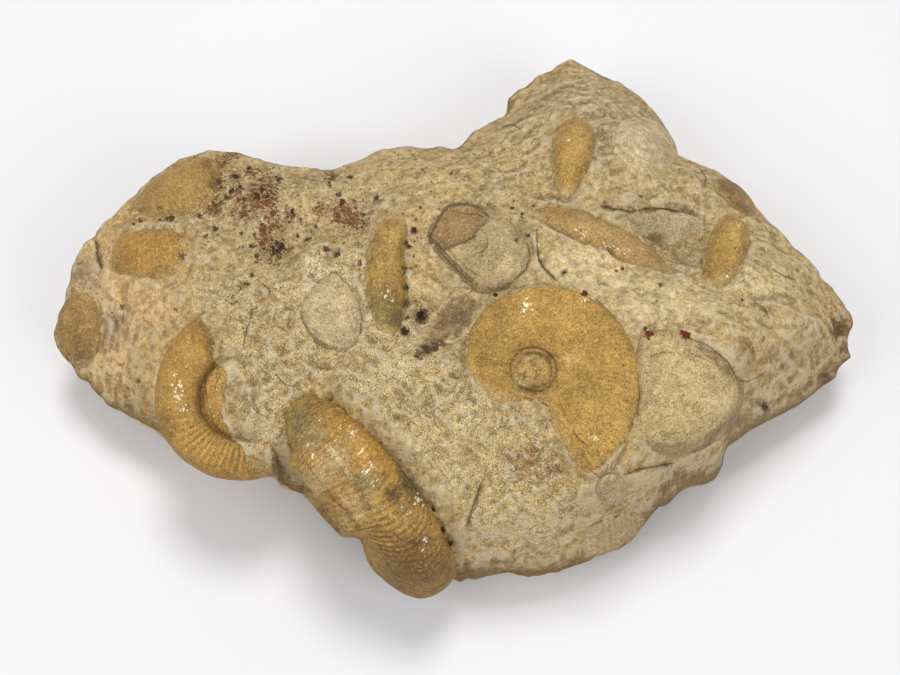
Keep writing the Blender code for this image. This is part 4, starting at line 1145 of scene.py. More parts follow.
    turn = (b[:, 0] - a[:, 0]) * (c[:, 1] - a[:, 1]) - (b[:, 1] - a[:, 1]) * (c[:, 0] - a[:, 0])
    under_tris[turn > 0] = under_tris[turn > 0][:, ::-1]
    remap = np.zeros(len(under_xy), int)
    fresh = []
    for i, olds in enumerate(got[3]):
        rims = [old for old in olds if old < n]
        if rims:
            remap[i] = last[rims[0]]
        else:
            remap[i] = start + len(fresh)
            fresh.append(i)
    fresh_xy = under_xy[fresh]
    lift = 0.15 + 0.15 * noise(np.column_stack([fresh_xy, fresh_xy[:, 0] * 0]), 4.0, 19)
    verts.append(np.column_stack([fresh_xy, np.clip(lift, 0, 0.3)]))
    faces.append(remap[under_tris])
    verts = np.vstack(verts)
    rest = len(verts) - top_count
    pad = lambda field, low=0.0: np.concatenate([field, np.full(rest, low)])
    wall_hollow = 0.5 * noise(verts[top_count:] + 40.0, 6.0, 20)
    return verts, faces, dict(
        hollow=np.concatenate([hollow, wall_hollow]),
        crevice=pad(crevice), tooled=np.concatenate([tooled, np.full(rest, 0.4)]),
        edge=pad(deep, 0.0), shell=pad(shell_near, 9.0), gold=pad(edge_gold), top=top_count,
    )


# ------------------------------------------------------------------ painters
def lined(colour, uv, lines):
    """Soft lines over a colour: points, half width in pixels, tint, strength."""
    for pts, wide, rgb, strength in lines:
        pts = np.asarray(pts, float)
        near = ((uv > pts.min(0) - 4 * wide) & (uv < pts.max(0) + 4 * wide)).all(1)
        if not near.any():
            continue
        d, _side, share = along(uv[near], pts)
        ends = smooth(0.0, 0.1, share) * smooth(1.0, 0.9, share)
        w = (strength * np.exp(-((d / wide) ** 2)) * (0.4 + 0.6 * ends))[:, None]
        colour[near] = colour[near] * (1 - w) + np.asarray(rgb) * w
    return colour


STONE_PATCHES = [
    # broad tones
    # the left end: pale stone, lightened further as painted light on its slope
    (120, 320, 66, 84, 0, tint(226, 192, 140), 0.90, 1.6),
    (90, 300, 30, 60, 0, tint(184, 154, 118), 0.45, 1.2),
    (170, 420, 64, 34, 35, tint(206, 174, 124), 0.7, 1.4),
    (290, 195, 95, 36, 0, tint(200, 178, 138), 0.70, 1.6),
    (250, 225, 60, 26, 0, tint(178, 154, 116), 0.40, 1.4),
    (400, 175, 60, 26, 0, tint(190, 167, 126), 0.6, 1.4),
    (480, 165, 60, 34, 0, tint(196, 172, 130), 0.6, 1.4),
    (610, 110, 70, 46, -20, tint(172, 156, 124), 0.75, 1.5),
    (650, 190, 60, 40, 0, tint(196, 174, 133), 0.6, 1.4),
    (772, 262, 52, 54, -35, tint(201, 178, 137), 0.7, 1.4),
    (690, 300, 60, 34, 0, tint(203, 181, 140), 0.65, 1.4),
    (586, 266, 40, 22, -20, tint(230, 212, 172), 0.92, 1.9),
    (600, 288, 44, 12, -12, tint(216, 196, 156), 0.65, 1.6),
    (300, 290, 90, 34, 0, tint(186, 164, 122), 0.6, 1.4),
    (400, 390, 70, 44, 0, tint(190, 169, 126), 0.6, 1.4),
    (262, 400, 36, 50, 0, tint(190, 167, 122), 0.6, 1.4),
    (520, 500, 70, 64, 0, tint(200, 176, 126), 0.75, 1.6),
    (600, 505, 50, 40, 30, tint(180, 157, 114), 0.6, 1.5),
    # the next two lighten the lower right slope: painted light
    (700, 470, 60, 22, 25, tint(192, 170, 128), 0.8, 1.6),
    (780, 402, 66, 24, 26, tint(204, 184, 144), 0.85, 1.6),
    (800, 340, 48, 36, 0, tint(196, 172, 130), 0.5, 1.4),
    (838, 355, 20, 40, 0, tint(186, 152, 106), 0.7, 1.4),
    # pale and dark fields
    (320, 282, 22, 14, 20, tint(216, 198, 160), 0.75, 1.9), (232, 372, 12, 34, 10, tint(218, 198, 156), 0.65, 1.8),
    (398, 372, 46, 16, 30, tint(214, 196, 156), 0.60, 1.9), (452, 330, 26, 12, -40, tint(170, 148, 106), 0.60, 1.7),
    (470, 410, 14, 30, -30, tint(220, 202, 162), 0.65, 1.9), (410, 410, 34, 10, 25, tint(172, 150, 108), 0.50, 1.8),
    (700, 310, 44, 10, -10, tint(216, 198, 158), 0.65, 1.8), (640, 318, 18, 12, 0, tint(170, 148, 110), 0.50, 1.7),
    (484, 246, 26, 8, 0, tint(176, 152, 112), 0.40, 1.6), (118, 220, 26, 20, -40, tint(196, 166, 116), 0.55, 1.6),
    (104, 300, 18, 40, 0, tint(198, 172, 136), 0.50, 1.6), (152, 368, 20, 46, 0, tint(216, 188, 138), 0.65, 1.7),
    (740, 300, 30, 14, -10, tint(180, 156, 114), 0.50, 1.8), (820, 300, 22, 26, 0, tint(186, 160, 114), 0.60, 1.7),
    (690, 205, 40, 10, 12, tint(150, 128, 92), 0.55, 1.7), (560, 195, 26, 16, 0, tint(174, 150, 112), 0.50, 1.7),
    (620, 480, 40, 18, -24, tint(190, 166, 122), 0.50, 1.7), (560, 530, 50, 26, -14, tint(206, 184, 138), 0.60, 1.8),
    # ochre and stain
    (160, 196, 54, 20, 30, tint(184, 144, 82), 0.55, 1.5),
    (70, 340, 18, 36, 0, tint(152, 118, 76), 0.7, 1.4),
    (130, 398, 50, 14, -30, tint(190, 152, 92), 0.6, 1.3),
    (210, 475, 60, 10, -25, tint(180, 138, 80), 0.6, 1.3),
    (540, 573, 44, 9, 0, tint(188, 138, 76), 0.85, 1.5),
    (470, 577, 40, 8, 0, tint(180, 140, 84), 0.6, 1.5),
    (752, 356, 17, 19, 20, tint(182, 142, 92), 0.85, 2.0),
    (528, 457, 24, 14, 10, tint(150, 112, 70), 0.90, 2.0), (546, 474, 22, 8, 10, tint(150, 120, 78), 0.6, 1.6),
    (545, 470, 26, 8, 0, tint(156, 124, 84), 0.55, 1.5),
    (562, 471, 8, 5, 0, tint(138, 104, 66), 0.7, 1.6),
    (836, 318, 16, 18, 0, tint(170, 128, 76), 0.6, 1.4),
    (841, 330, 9, 11, 30, tint(112, 80, 44), 0.90, 1.8),
    (829, 379, 7, 7, 0, tint(132, 110, 78), 0.7, 1.6),
    (846, 350, 8, 10, 0, tint(120, 70, 44), 0.7, 1.4),
    (720, 465, 8, 7, 0, tint(132, 98, 62), 0.8, 1.6),
    (745, 190, 14, 8, -40, tint(150, 112, 68), 0.7, 1.5),
    (760, 214, 9, 8, 0, tint(160, 118, 70), 0.7, 1.5),
    (556, 66, 30, 8, 22, tint(176, 140, 88), 0.6, 1.4),
    (513, 102, 9, 12, 0, tint(172, 134, 84), 0.6, 1.4),
    (400, 147, 60, 6, 0, tint(158, 126, 84), 0.55, 1.3),
    (640, 96, 34, 7, -40, tint(186, 156, 106), 0.5, 1.4),
    # mauve left end
    (82, 270, 15, 18, 15, tint(158, 132, 114), 0.75, 1.5),
    (80, 305, 13, 12, 0, tint(148, 118, 96), 0.6, 1.5),
    (112, 325, 12, 14, 0, tint(160, 130, 112), 0.65, 1.6),
    (110, 342, 12, 10, 0, tint(156, 126, 108), 0.65, 1.6),
    (128, 318, 12, 20, 10, tint(168, 140, 120), 0.55, 1.6),
    (104, 370, 10, 7, 0, tint(206, 184, 146), 0.7, 1.6),
    # greenish fuzz beside the ribbed ammonite and at the standing one
    (210, 333, 8, 9, 0, tint(124, 108, 70), 0.7, 1.4),
    (228, 330, 10, 6, 0, tint(166, 142, 96), 0.5, 1.4),
    (294, 420, 10, 14, 0, tint(140, 118, 76), 0.5, 1.4),
    # matrix round the tilted shell; the first two patches are painted shade behind its back edge
    (520, 232, 12, 10, -40, tint(128, 118, 88), 0.75, 1.5),
    (478, 208, 22, 5, -8, tint(120, 112, 86), 0.6, 1.4),
    (424, 278, 16, 24, 0, tint(210, 188, 134), 0.7, 1.5),
    (424, 330, 12, 9, 0, tint(214, 202, 170), 0.7, 1.6),
    (414, 240, 10, 18, 0, tint(184, 160, 112), 0.5, 1.5),
    # painted shade in the hollow behind the banded ammonite
    (676, 218, 30, 12, 0, tint(150, 128, 96), 0.6, 1.5),
    (620, 212, 16, 7, -10, tint(150, 126, 92), 0.5, 1.4),
    (690, 244, 24, 30, 0, tint(160, 140, 106), 0.6, 1.5),
    (664, 268, 14, 8, 0, tint(140, 120, 88), 0.5, 1.4),
    (652, 246, 16, 5, 6, tint(112, 88, 54), 0.75, 1.7),
    (656, 250, 22, 8, 40, tint(128, 104, 64), 0.6, 1.6),
    (700, 262, 22, 16, 0, tint(168, 148, 112), 0.6, 1.6),
    (684, 262, 8, 5, 0, tint(112, 90, 58), 0.6, 1.6),
    # these two: painted highlight on the lit cream facets and ridges below the hollow
    (650, 302, 58, 26, 0, tint(216, 198, 160), 0.65, 1.6),
    (760, 286, 36, 12, 0, tint(220, 202, 162), 0.55, 1.5),
    # warm haze under the rust
    (262, 202, 20, 16, 0, tint(150, 112, 72), 0.45, 1.3),
    (272, 234, 16, 14, 0, tint(156, 118, 74), 0.40, 1.3),
    (346, 214, 18, 10, 10, tint(160, 120, 74), 0.45, 1.3),
    (320, 210, 9, 6, 0, tint(176, 130, 74), 0.6, 1.6),
    (217, 181, 10, 9, 0, tint(140, 102, 62), 0.5, 1.4),
    (222, 160, 16, 6, 0, tint(150, 116, 74), 0.5, 1.4),
    (332, 252, 10, 4, 25, tint(104, 88, 64), 0.6, 1.8),
    (386, 205, 22, 12, 20, tint(168, 152, 118), 0.6, 1.4),
    (360, 245, 30, 9, 5, tint(170, 152, 116), 0.6, 1.5),
    (314, 180, 30, 10, 0, tint(164, 144, 108), 0.5, 1.4),
    (318, 272, 10, 12, -30, tint(232, 222, 192), 0.8, 1.8),
    (306, 264, 9, 8, 0, tint(232, 222, 192), 0.7, 1.8),
    (253, 228, 16, 7, 30, tint(214, 196, 158), 0.6, 1.6),
    (404, 328, 18, 12, 0, tint(224, 210, 176), 0.5, 1.5),
    (440, 290, 14, 8, 30, tint(216, 194, 146), 0.6, 1.6),
    (421, 316, 5.2, 5.2, 0, tint(30, 24, 20), 0.97, 2.6),
    (405, 331, 4.2, 3.8, 0, tint(34, 27, 22), 0.95, 2.6),
    (405, 288, 2.8, 2.8, 0, SOOT, 0.9, 2.2),
    (406, 303, 2.8, 2.8, 0, SOOT, 0.9, 2.2),
    (414, 231, 3.0, 2.6, 0, SOOT, 0.9, 2.2),
    (405, 245, 3.4, 3.0, 0, SOOT, 0.8, 2.0),
    (404, 268, 2.4, 3.4, 0, SOOT, 0.8, 2.0),
    (139, 381, 2.4, 2.4, 0, SOOT, 0.9, 2.0),
    (829, 379, 6, 5, 0, tint(96, 72, 50), 0.8, 1.8),
    (764, 407, 6, 5, 0, tint(78, 60, 46), 0.85, 1.8),
    (564, 272, 2.6, 2.6, 0, tint(96, 70, 50), 0.9, 2.0),
    (661, 285, 2.6, 2.2, 0, tint(110, 84, 60), 0.8, 2.0),
    (298, 468, 7, 7, 0, tint(88, 68, 46), 0.7, 1.6),
    # dark crescent at the lower edge of the dark hollow: partly painted shade
    (426, 352, 7, 4, -30, tint(46, 36, 34), 0.85, 1.8),
    (256, 462, 9, 7, 0, tint(96, 72, 46), 0.6, 1.6),
    # chalky collar on the standing ammonite
    (372, 408, 22, 6, -32, tint(216, 200, 164), 0.6, 1.5),
    (416, 448, 28, 6, -52, tint(216, 200, 164), 0.6, 1.5),
    (176, 323, 9, 4, 30, tint(212, 194, 156), 0.6, 1.6),
    (154, 384, 4, 14, 0, tint(208, 188, 148), 0.5, 1.6),
    (553, 410, 10, 9, 0, tint(205, 187, 148), 0.7, 1.6),
]
# soft lines on the stone; the dark ones round the fossils are painted shade in the gaps
STONE_LINES = [
    ([(537, 247), (538, 256), (541, 265), (548, 274), (556, 280)], 1.4, tint(110, 88, 60), 0.8),
    ([(96, 240), (97, 250), (101, 269)], 1.6, tint(96, 78, 58), 0.8),
    ([(252, 390), (253, 402), (260, 414)], 1.4, tint(116, 94, 62), 0.7),
    ([(641, 352), (643, 368), (643, 390), (641, 404), (636, 419)], 2.2, tint(88, 66, 42), 0.85),
    ([(481, 483), (476, 500), (470, 516), (466, 530)], 1.5, tint(148, 124, 86), 0.7),
    ([(624, 475), (640, 469), (658, 466), (675, 463)], 2.0, tint(120, 98, 66), 0.7),
    ([(480, 318), (472, 334), (467, 351), (468, 367), (475, 380), (485, 392)], 1.5, tint(146, 116, 72), 0.7),
    ([(332, 272), (345, 279), (356, 292), (363, 309), (363, 326), (357, 341), (343, 353)], 1.5, tint(118, 98, 68), 0.75),
    ([(303, 312), (308, 328), (316, 340), (330, 350)], 1.3, tint(140, 118, 84), 0.6),
    ([(643, 340), (671, 333), (705, 346), (728, 362), (740, 384), (739, 404), (727, 424), (706, 438), (680, 449), (655, 446)], 1.4, tint(140, 116, 82), 0.65),
    # painted shadow of the overhang above the lens hollow
    ([(602, 207), (622, 211), (648, 210), (678, 209), (700, 215)], 2.2, tint(98, 78, 56), 0.75),
    ([(538, 214), (556, 205), (580, 209), (610, 224), (640, 242), (664, 262)], 1.3, tint(150, 122, 82), 0.5),
    ([(556, 120), (553, 146), (553, 178), (562, 202)], 1.6, tint(146, 118, 78), 0.55),
    ([(594, 124), (595, 146), (586, 176), (570, 202)], 1.3, tint(150, 122, 84), 0.45),
    ([(748, 218), (749, 240), (744, 262), (732, 284)], 1.6, tint(140, 112, 74), 0.55),
    ([(300, 495), (306, 480), (300, 460), (292, 448)], 1.8, tint(92, 72, 48), 0.75),
    ([(472, 284), (490, 293), (512, 283), (528, 268)], 1.4, tint(128, 106, 76), 0.6),
    ([(430, 236), (444, 252), (460, 272), (474, 287)], 1.5, tint(108, 90, 66), 0.75),
    ([(336, 244), (360, 250), (384, 258), (398, 262)], 1.5, tint(214, 202, 168), 0.6),
    ([(590, 470), (576, 468), (566, 450), (556, 426), (549, 406), (534, 400), (514, 403)], 1.3, tint(150, 120, 76), 0.5),
]


BLACK_SPOTS = [
    (645, 329, 3.4), (166, 219, 3.2), (172, 218, 3.6), (160, 219, 2.4), (140, 220, 2.4), (134, 224, 2.0),
    (182, 256, 3.2), (217, 181, 3.0), (262, 190, 3.4), (258, 196, 3.0), (268, 196, 3.0),
    (421, 316, 6.2), (405, 331, 5.2), (405, 288, 3.6), (406, 303, 3.6), (414, 231, 3.2),
    (405, 243, 3.0), (410, 247, 2.8), (400, 239, 2.2), (404, 268, 2.6), (279, 179, 3.6),
    (139, 381, 2.2), (275, 251, 7.0), (280, 247, 6.0), (326, 249, 4.0), (337, 255, 4.4),
    (298, 236, 2.6), (308, 239, 3.0), (215, 229, 3.8), (199, 216, 4.0), (205, 236, 3.0),
    (764, 407, 3.4), (660, 285, 2.2), (564, 272, 2.2),
    # the first three here: the dark crescent at the lower edge of the dark hollow, partly painted shade
    (426, 351, 6.0), (436, 347, 5.0), (418, 354, 5.0), (413, 256, 2.2), (410, 268, 2.2),
    (360, 262, 3.0), (252, 276, 2.6), (246, 284, 2.4), (233, 297, 2.0), (240, 289, 2.4),
    (426, 387, 1.8), (338, 195, 4.2), (342, 202, 3.4), (378, 198, 4.2), (350, 178, 3.0),
    (330, 186, 2.8), (416, 219, 2.2), (420, 208, 2.0), (406, 318, 3.0), (700, 240, 2.0),
    (742, 300, 1.8), (256, 256, 3.0), (250, 246, 3.0), (242, 232, 2.4), (292, 212, 2.6),
    (300, 220, 2.4), (286, 206, 2.2), (316, 226, 2.2), (232, 190, 3.4), (240, 186, 3.2),
    (236, 176, 3.0), (226, 196, 2.8), (248, 168, 2.2), (256, 262, 2.4), (516, 240, 2.4),
    (528, 236, 2.2), (522, 214, 2.2), (512, 209, 2.2), (504, 206, 2.0), (534, 206, 2.8),
]
# loose clusters of rust: u, v, reach in pixels
RUST_SPOTS = [
    (262, 190, 15.0), (256, 200, 15.0), (270, 200, 11.0), (217, 181, 10.0), (216, 207, 10.0),
    (262, 231, 8.5), (274, 225, 10.0), (263, 242, 9.5), (280, 248, 9.0), (234, 153, 9.0),
    (196, 160, 6.5), (223, 163, 7.0), (345, 212, 14.0), (340, 220, 9.0), (357, 222, 11.0),
    (362, 221, 7.0), (320, 210, 7.0), (246, 214, 8.0), (238, 192, 9.0), (275, 262, 5.0),
    (272, 214, 8.0), (208, 196, 6.0), (181, 256, 5.0), (640, 196, 3.0), (752, 352, 4.0),
    (330, 178, 7.0), (252, 174, 8.0), (234, 176, 8.0), (232, 210, 6.0), (290, 216, 7.0),
]


WINE_SPOTS = [
    (649, 334, 4.4), (686, 335, 4.6), (682, 333, 3.0), (584, 294, 3.4),
    (622, 268, 2.2), (616, 271, 1.8), (495, 295, 2.8),
]
# hair cracks, the fine dark outlines of the fossils (painted shade in the gaps round them), and one painted overhang
# shadow
CRACK_AND_SHADE_LINES = [
    [(307, 294), (303, 306), (303, 317), (307, 328), (314, 340), (320, 351)],
    [(347, 285), (354, 297), (359, 310), (361, 325), (359, 336)],
    [(252, 306), (251, 318), (247, 328), (244, 343), (243, 352)],
    [(171, 307), (175, 309), (180, 314)],
    [(251, 403), (254, 409), (261, 415), (268, 418)],
    [(277, 375), (284, 384), (293, 387), (300, 381)],
    [(284, 426), (281, 434), (276, 440)],
    [(537, 226), (537, 247), (539, 260), (543, 266), (556, 280), (562, 284)],
    [(430, 236), (438, 219), (446, 207), (461, 205), (476, 205), (490, 210)],
    [(505, 218), (519, 232), (528, 246), (530, 256), (526, 269), (512, 281), (497, 292)],
    [(431, 240), (440, 252), (452, 266), (461, 277), (472, 286)],
    [(594, 297), (613, 316), (628, 342), (638, 369), (640, 392), (638, 412)],
    [(644, 350), (644, 372), (643, 396), (640, 412)],
    [(640, 339), (651, 336), (670, 335), (686, 337), (709, 346), (728, 362), (736, 377), (738, 390)],
    [(640, 427), (653, 438), (674, 448), (690, 443), (704, 437)],
    [(736, 378), (747, 382), (758, 377), (768, 370)],
    # the next line is the painted shadow of the overhang above the lens hollow
    [(601, 206), (615, 209), (630, 212), (650, 208), (672, 210), (690, 216), (702, 222)],
    [(482, 481), (476, 498), (472, 510), (466, 530)],
    [(622, 476), (640, 469), (658, 466), (678, 462)],
    [(95, 238), (97, 250), (99, 262), (102, 270)],
    [(326, 246), (332, 251), (342, 256)],
    [(222, 298), (232, 304), (240, 301)],
    [(262, 282), (270, 290), (268, 300)],
    [(200, 216), (214, 207), (226, 199), (236, 196)],
    [(396, 262), (404, 270), (408, 282)],
    [(540, 402), (549, 406), (553, 418), (560, 430)],
    [(588, 527), (600, 521), (616, 517), (632, 515)],
    [(700, 168), (706, 178), (704, 190)],
    [(556, 205), (560, 196), (572, 200)],
    [(590, 470), (600, 478), (612, 474)],
    [(770, 268), (784, 276), (796, 280)],
    [(752, 300), (764, 308), (770, 320)],
    [(118, 300), (124, 312), (122, 326)],
    [(500, 128), (512, 124), (522, 130)],
    [(156, 384), (156, 396), (158, 410)],
]
# fine lines on the fossils themselves
HAIRS = [
    [(573, 430), (578, 438), (588, 446)],
    [(490, 220), (480, 228), (475, 233), (471, 239), (461, 243), (454, 246)],
    [(487, 236), (488, 246), (482, 252), (475, 254)],
    [(434, 244), (446, 259), (458, 271), (471, 283)],
    [(437, 243), (449, 257), (462, 270), (474, 281)],
    [(452, 210), (464, 214), (478, 214), (486, 220)],
    [(306, 462), (314, 474), (322, 484)],
    [(330, 496), (340, 506), (350, 513)],
    [(380, 500), (388, 492), (396, 497)],
    [(384, 560), (394, 573), (404, 580)],
    [(408, 566), (420, 569), (430, 566)],
    [(388, 528), (400, 539), (412, 544), (424, 542)],
    [(396, 552), (410, 561), (424, 560), (436, 552)],
    [(650, 356), (664, 352), (676, 353)],
    [(688, 352), (700, 357), (714, 364)],
    [(532, 392), (540, 391), (549, 386), (556, 376), (557, 364)],
    [(549, 352), (556, 362), (557, 372)],
    [(205, 372), (206, 390), (208, 406), (214, 422)],
    [(222, 372), (216, 384), (214, 396)],
]
# pale chips on the fossils, and painted glints of light on their crests
CHIPS_AND_GLINTS = [
    (179, 386, 3.8), (178, 397, 3.4), (184, 409, 2.6), (174, 375, 1.8), (527, 305, 4.2),
    (524, 312, 2.4), (585, 299, 2.2), (387, 295, 3.4), (352, 433, 4.0), (371, 465, 2.8),
    (373, 483, 2.8), (418, 500, 4.2), (425, 538, 3.2), (424, 547, 2.6), (362, 452, 3.0),
    (334, 440, 2.2), (366, 472, 3.2), (348, 446, 2.0), (340, 428, 1.8), (583, 234, 2.6),
    (606, 246, 3.0), (618, 249, 3.0), (627, 251, 2.6), (576, 229, 2.0), (739, 225, 2.4),
    (728, 277, 2.6), (744, 220, 1.8), (595, 438, 2.2), (569, 140, 1.8), (392, 240, 1.6),
    (308, 446, 2.6), (313, 455, 2.6), (376, 478, 2.2), (356, 440, 1.8), (430, 552, 2.0),
    (321, 420, 1.8), (402, 508, 2.2), (410, 514, 2.0), (186, 366, 1.6), (392, 300, 2.0),
]


def traced(uv, lines):
    """Signed distance in pixels to the nearest fine line, and how much it counts."""
    off = np.full(len(uv), 9.0)
    count = np.zeros(len(uv))
    for pts in lines:
        pts = np.asarray(pts, float)
        near = np.flatnonzero(((uv > pts.min(0) - 8) & (uv < pts.max(0) + 8)).all(1))
        if not len(near):
            continue
        d, side, share = along(uv[near], pts)
        total = np.hypot(*(pts[1:] - pts[:-1]).T).sum()
        ends = smooth(0.0, 5 / total, share) * smooth(1.0, 1 - 5 / total, share)
        closer = d < np.abs(off[near])
        at = near[closer]
        off[at] = (d * np.where(side < 0, -1.0, 1.0))[closer]
        count[at] = (ends * smooth(4.6, 2.6, d))[closer]
    return off, count


def scattered(spots):
    """Each chip and painted glint breaks into a few small ones."""
    out = []
    for k, (u, v, r) in enumerate(spots):
        out.append((u, v, 0.56 * r))
        for i in range(5):
            a = 2.4 * (3 * k + i)
            out.append((u + 1.25 * r * math.cos(a) * (0.6 + 0.2 * i), v + 1.25 * r * math.sin(a) * (0.6 + 0.2 * i), 0.34 * r))
    return out


def spotted(uv, xyz, spots):
    """1 in the middle of the nearest spot, 0.5 on its edge, falling to 0."""
    out = np.zeros(len(uv))
    wander = np.column_stack([noise(xyz, 1.6, 97), noise(xyz, 1.6, 98)]) * 1.6
    for u, v, r in spots:
        near = (np.abs(uv[:, 0] - u) < 3 * r + 3) & (np.abs(uv[:, 1] - v) < 3 * r + 3)
        d = uv[near] + wander[near] * min(1.0, r / 4) - (u, v)
        out[near] = np.maximum(out[near], 1 - 0.5 * np.hypot(d[:, 0], d[:, 1]) / r)
    return np.clip(out, 0, 1)


def paint_block(verts, data):
    uv = seen_at(verts)
    colour = np.tile(tint(184, 161, 118), (len(verts), 1))
    top = np.zeros(len(verts), bool)
    top[:data["top"]] = True
    seen = colour[top]
    seen = patched(seen, uv[top], verts[top], STONE_PATCHES)
    seen = lined(seen, uv[top], STONE_LINES)
    colour[top] = seen
    w = (data["gold"][top] * np.clip(0.32 + 0.30 * noise(verts[top], 1.8, 49), 0, 1))[:, None]
    colour[top] = colour[top] * (1 - w) + tint(178, 144, 86) * w
    # the wall: one pale tint with a little noise, lighter than the top as painted light on the sides, and browner and
    # darker towards the foot
    wall = tint(226, 198, 146) * (1 + 0.10 * noise(verts[~top] + 40.0, 9.0, 25))[:, None]
    colour[~top] = wall
    low = smooth(30, 0, verts[~top][:, 2])[:, None]
    colour[~top] = colour[~top] * (1 - 0.22 * low) + tint(160, 130, 88) * 0.22 * low
    tone = 1 + 0.07 * noise(verts, 8.0, 26) + 0.05 * noise(verts, 3.0, 27)
    colour *= tone[:, None]
    dots = smooth(-12, 12, inside(uv, [
        (150, 160), (250, 150), (380, 150), (500, 150), (560, 200), (520, 240), (400, 280),
        (300, 268), (200, 262), (160, 220)]))
    dots = np.where(top, np.maximum(0.10, dots), 0.12)
    stain = np.where(top, smooth(-10, 10, inside(uv, [
        (195, 155), (260, 158), (300, 180), (366, 200), (366, 235), (300, 262), (240, 255),
        (200, 220)])), 0.0)
    black = spotted(uv, verts, BLACK_SPOTS) * top
    rust = spotted(uv, verts, RUST_SPOTS) * top
    data["wine"] = spotted(uv, verts, WINE_SPOTS) * top
    colour = colour * (1.24, 1.14, 0.93)
    return np.clip(colour, 0.01, 0.95), dots, stain, black, rust


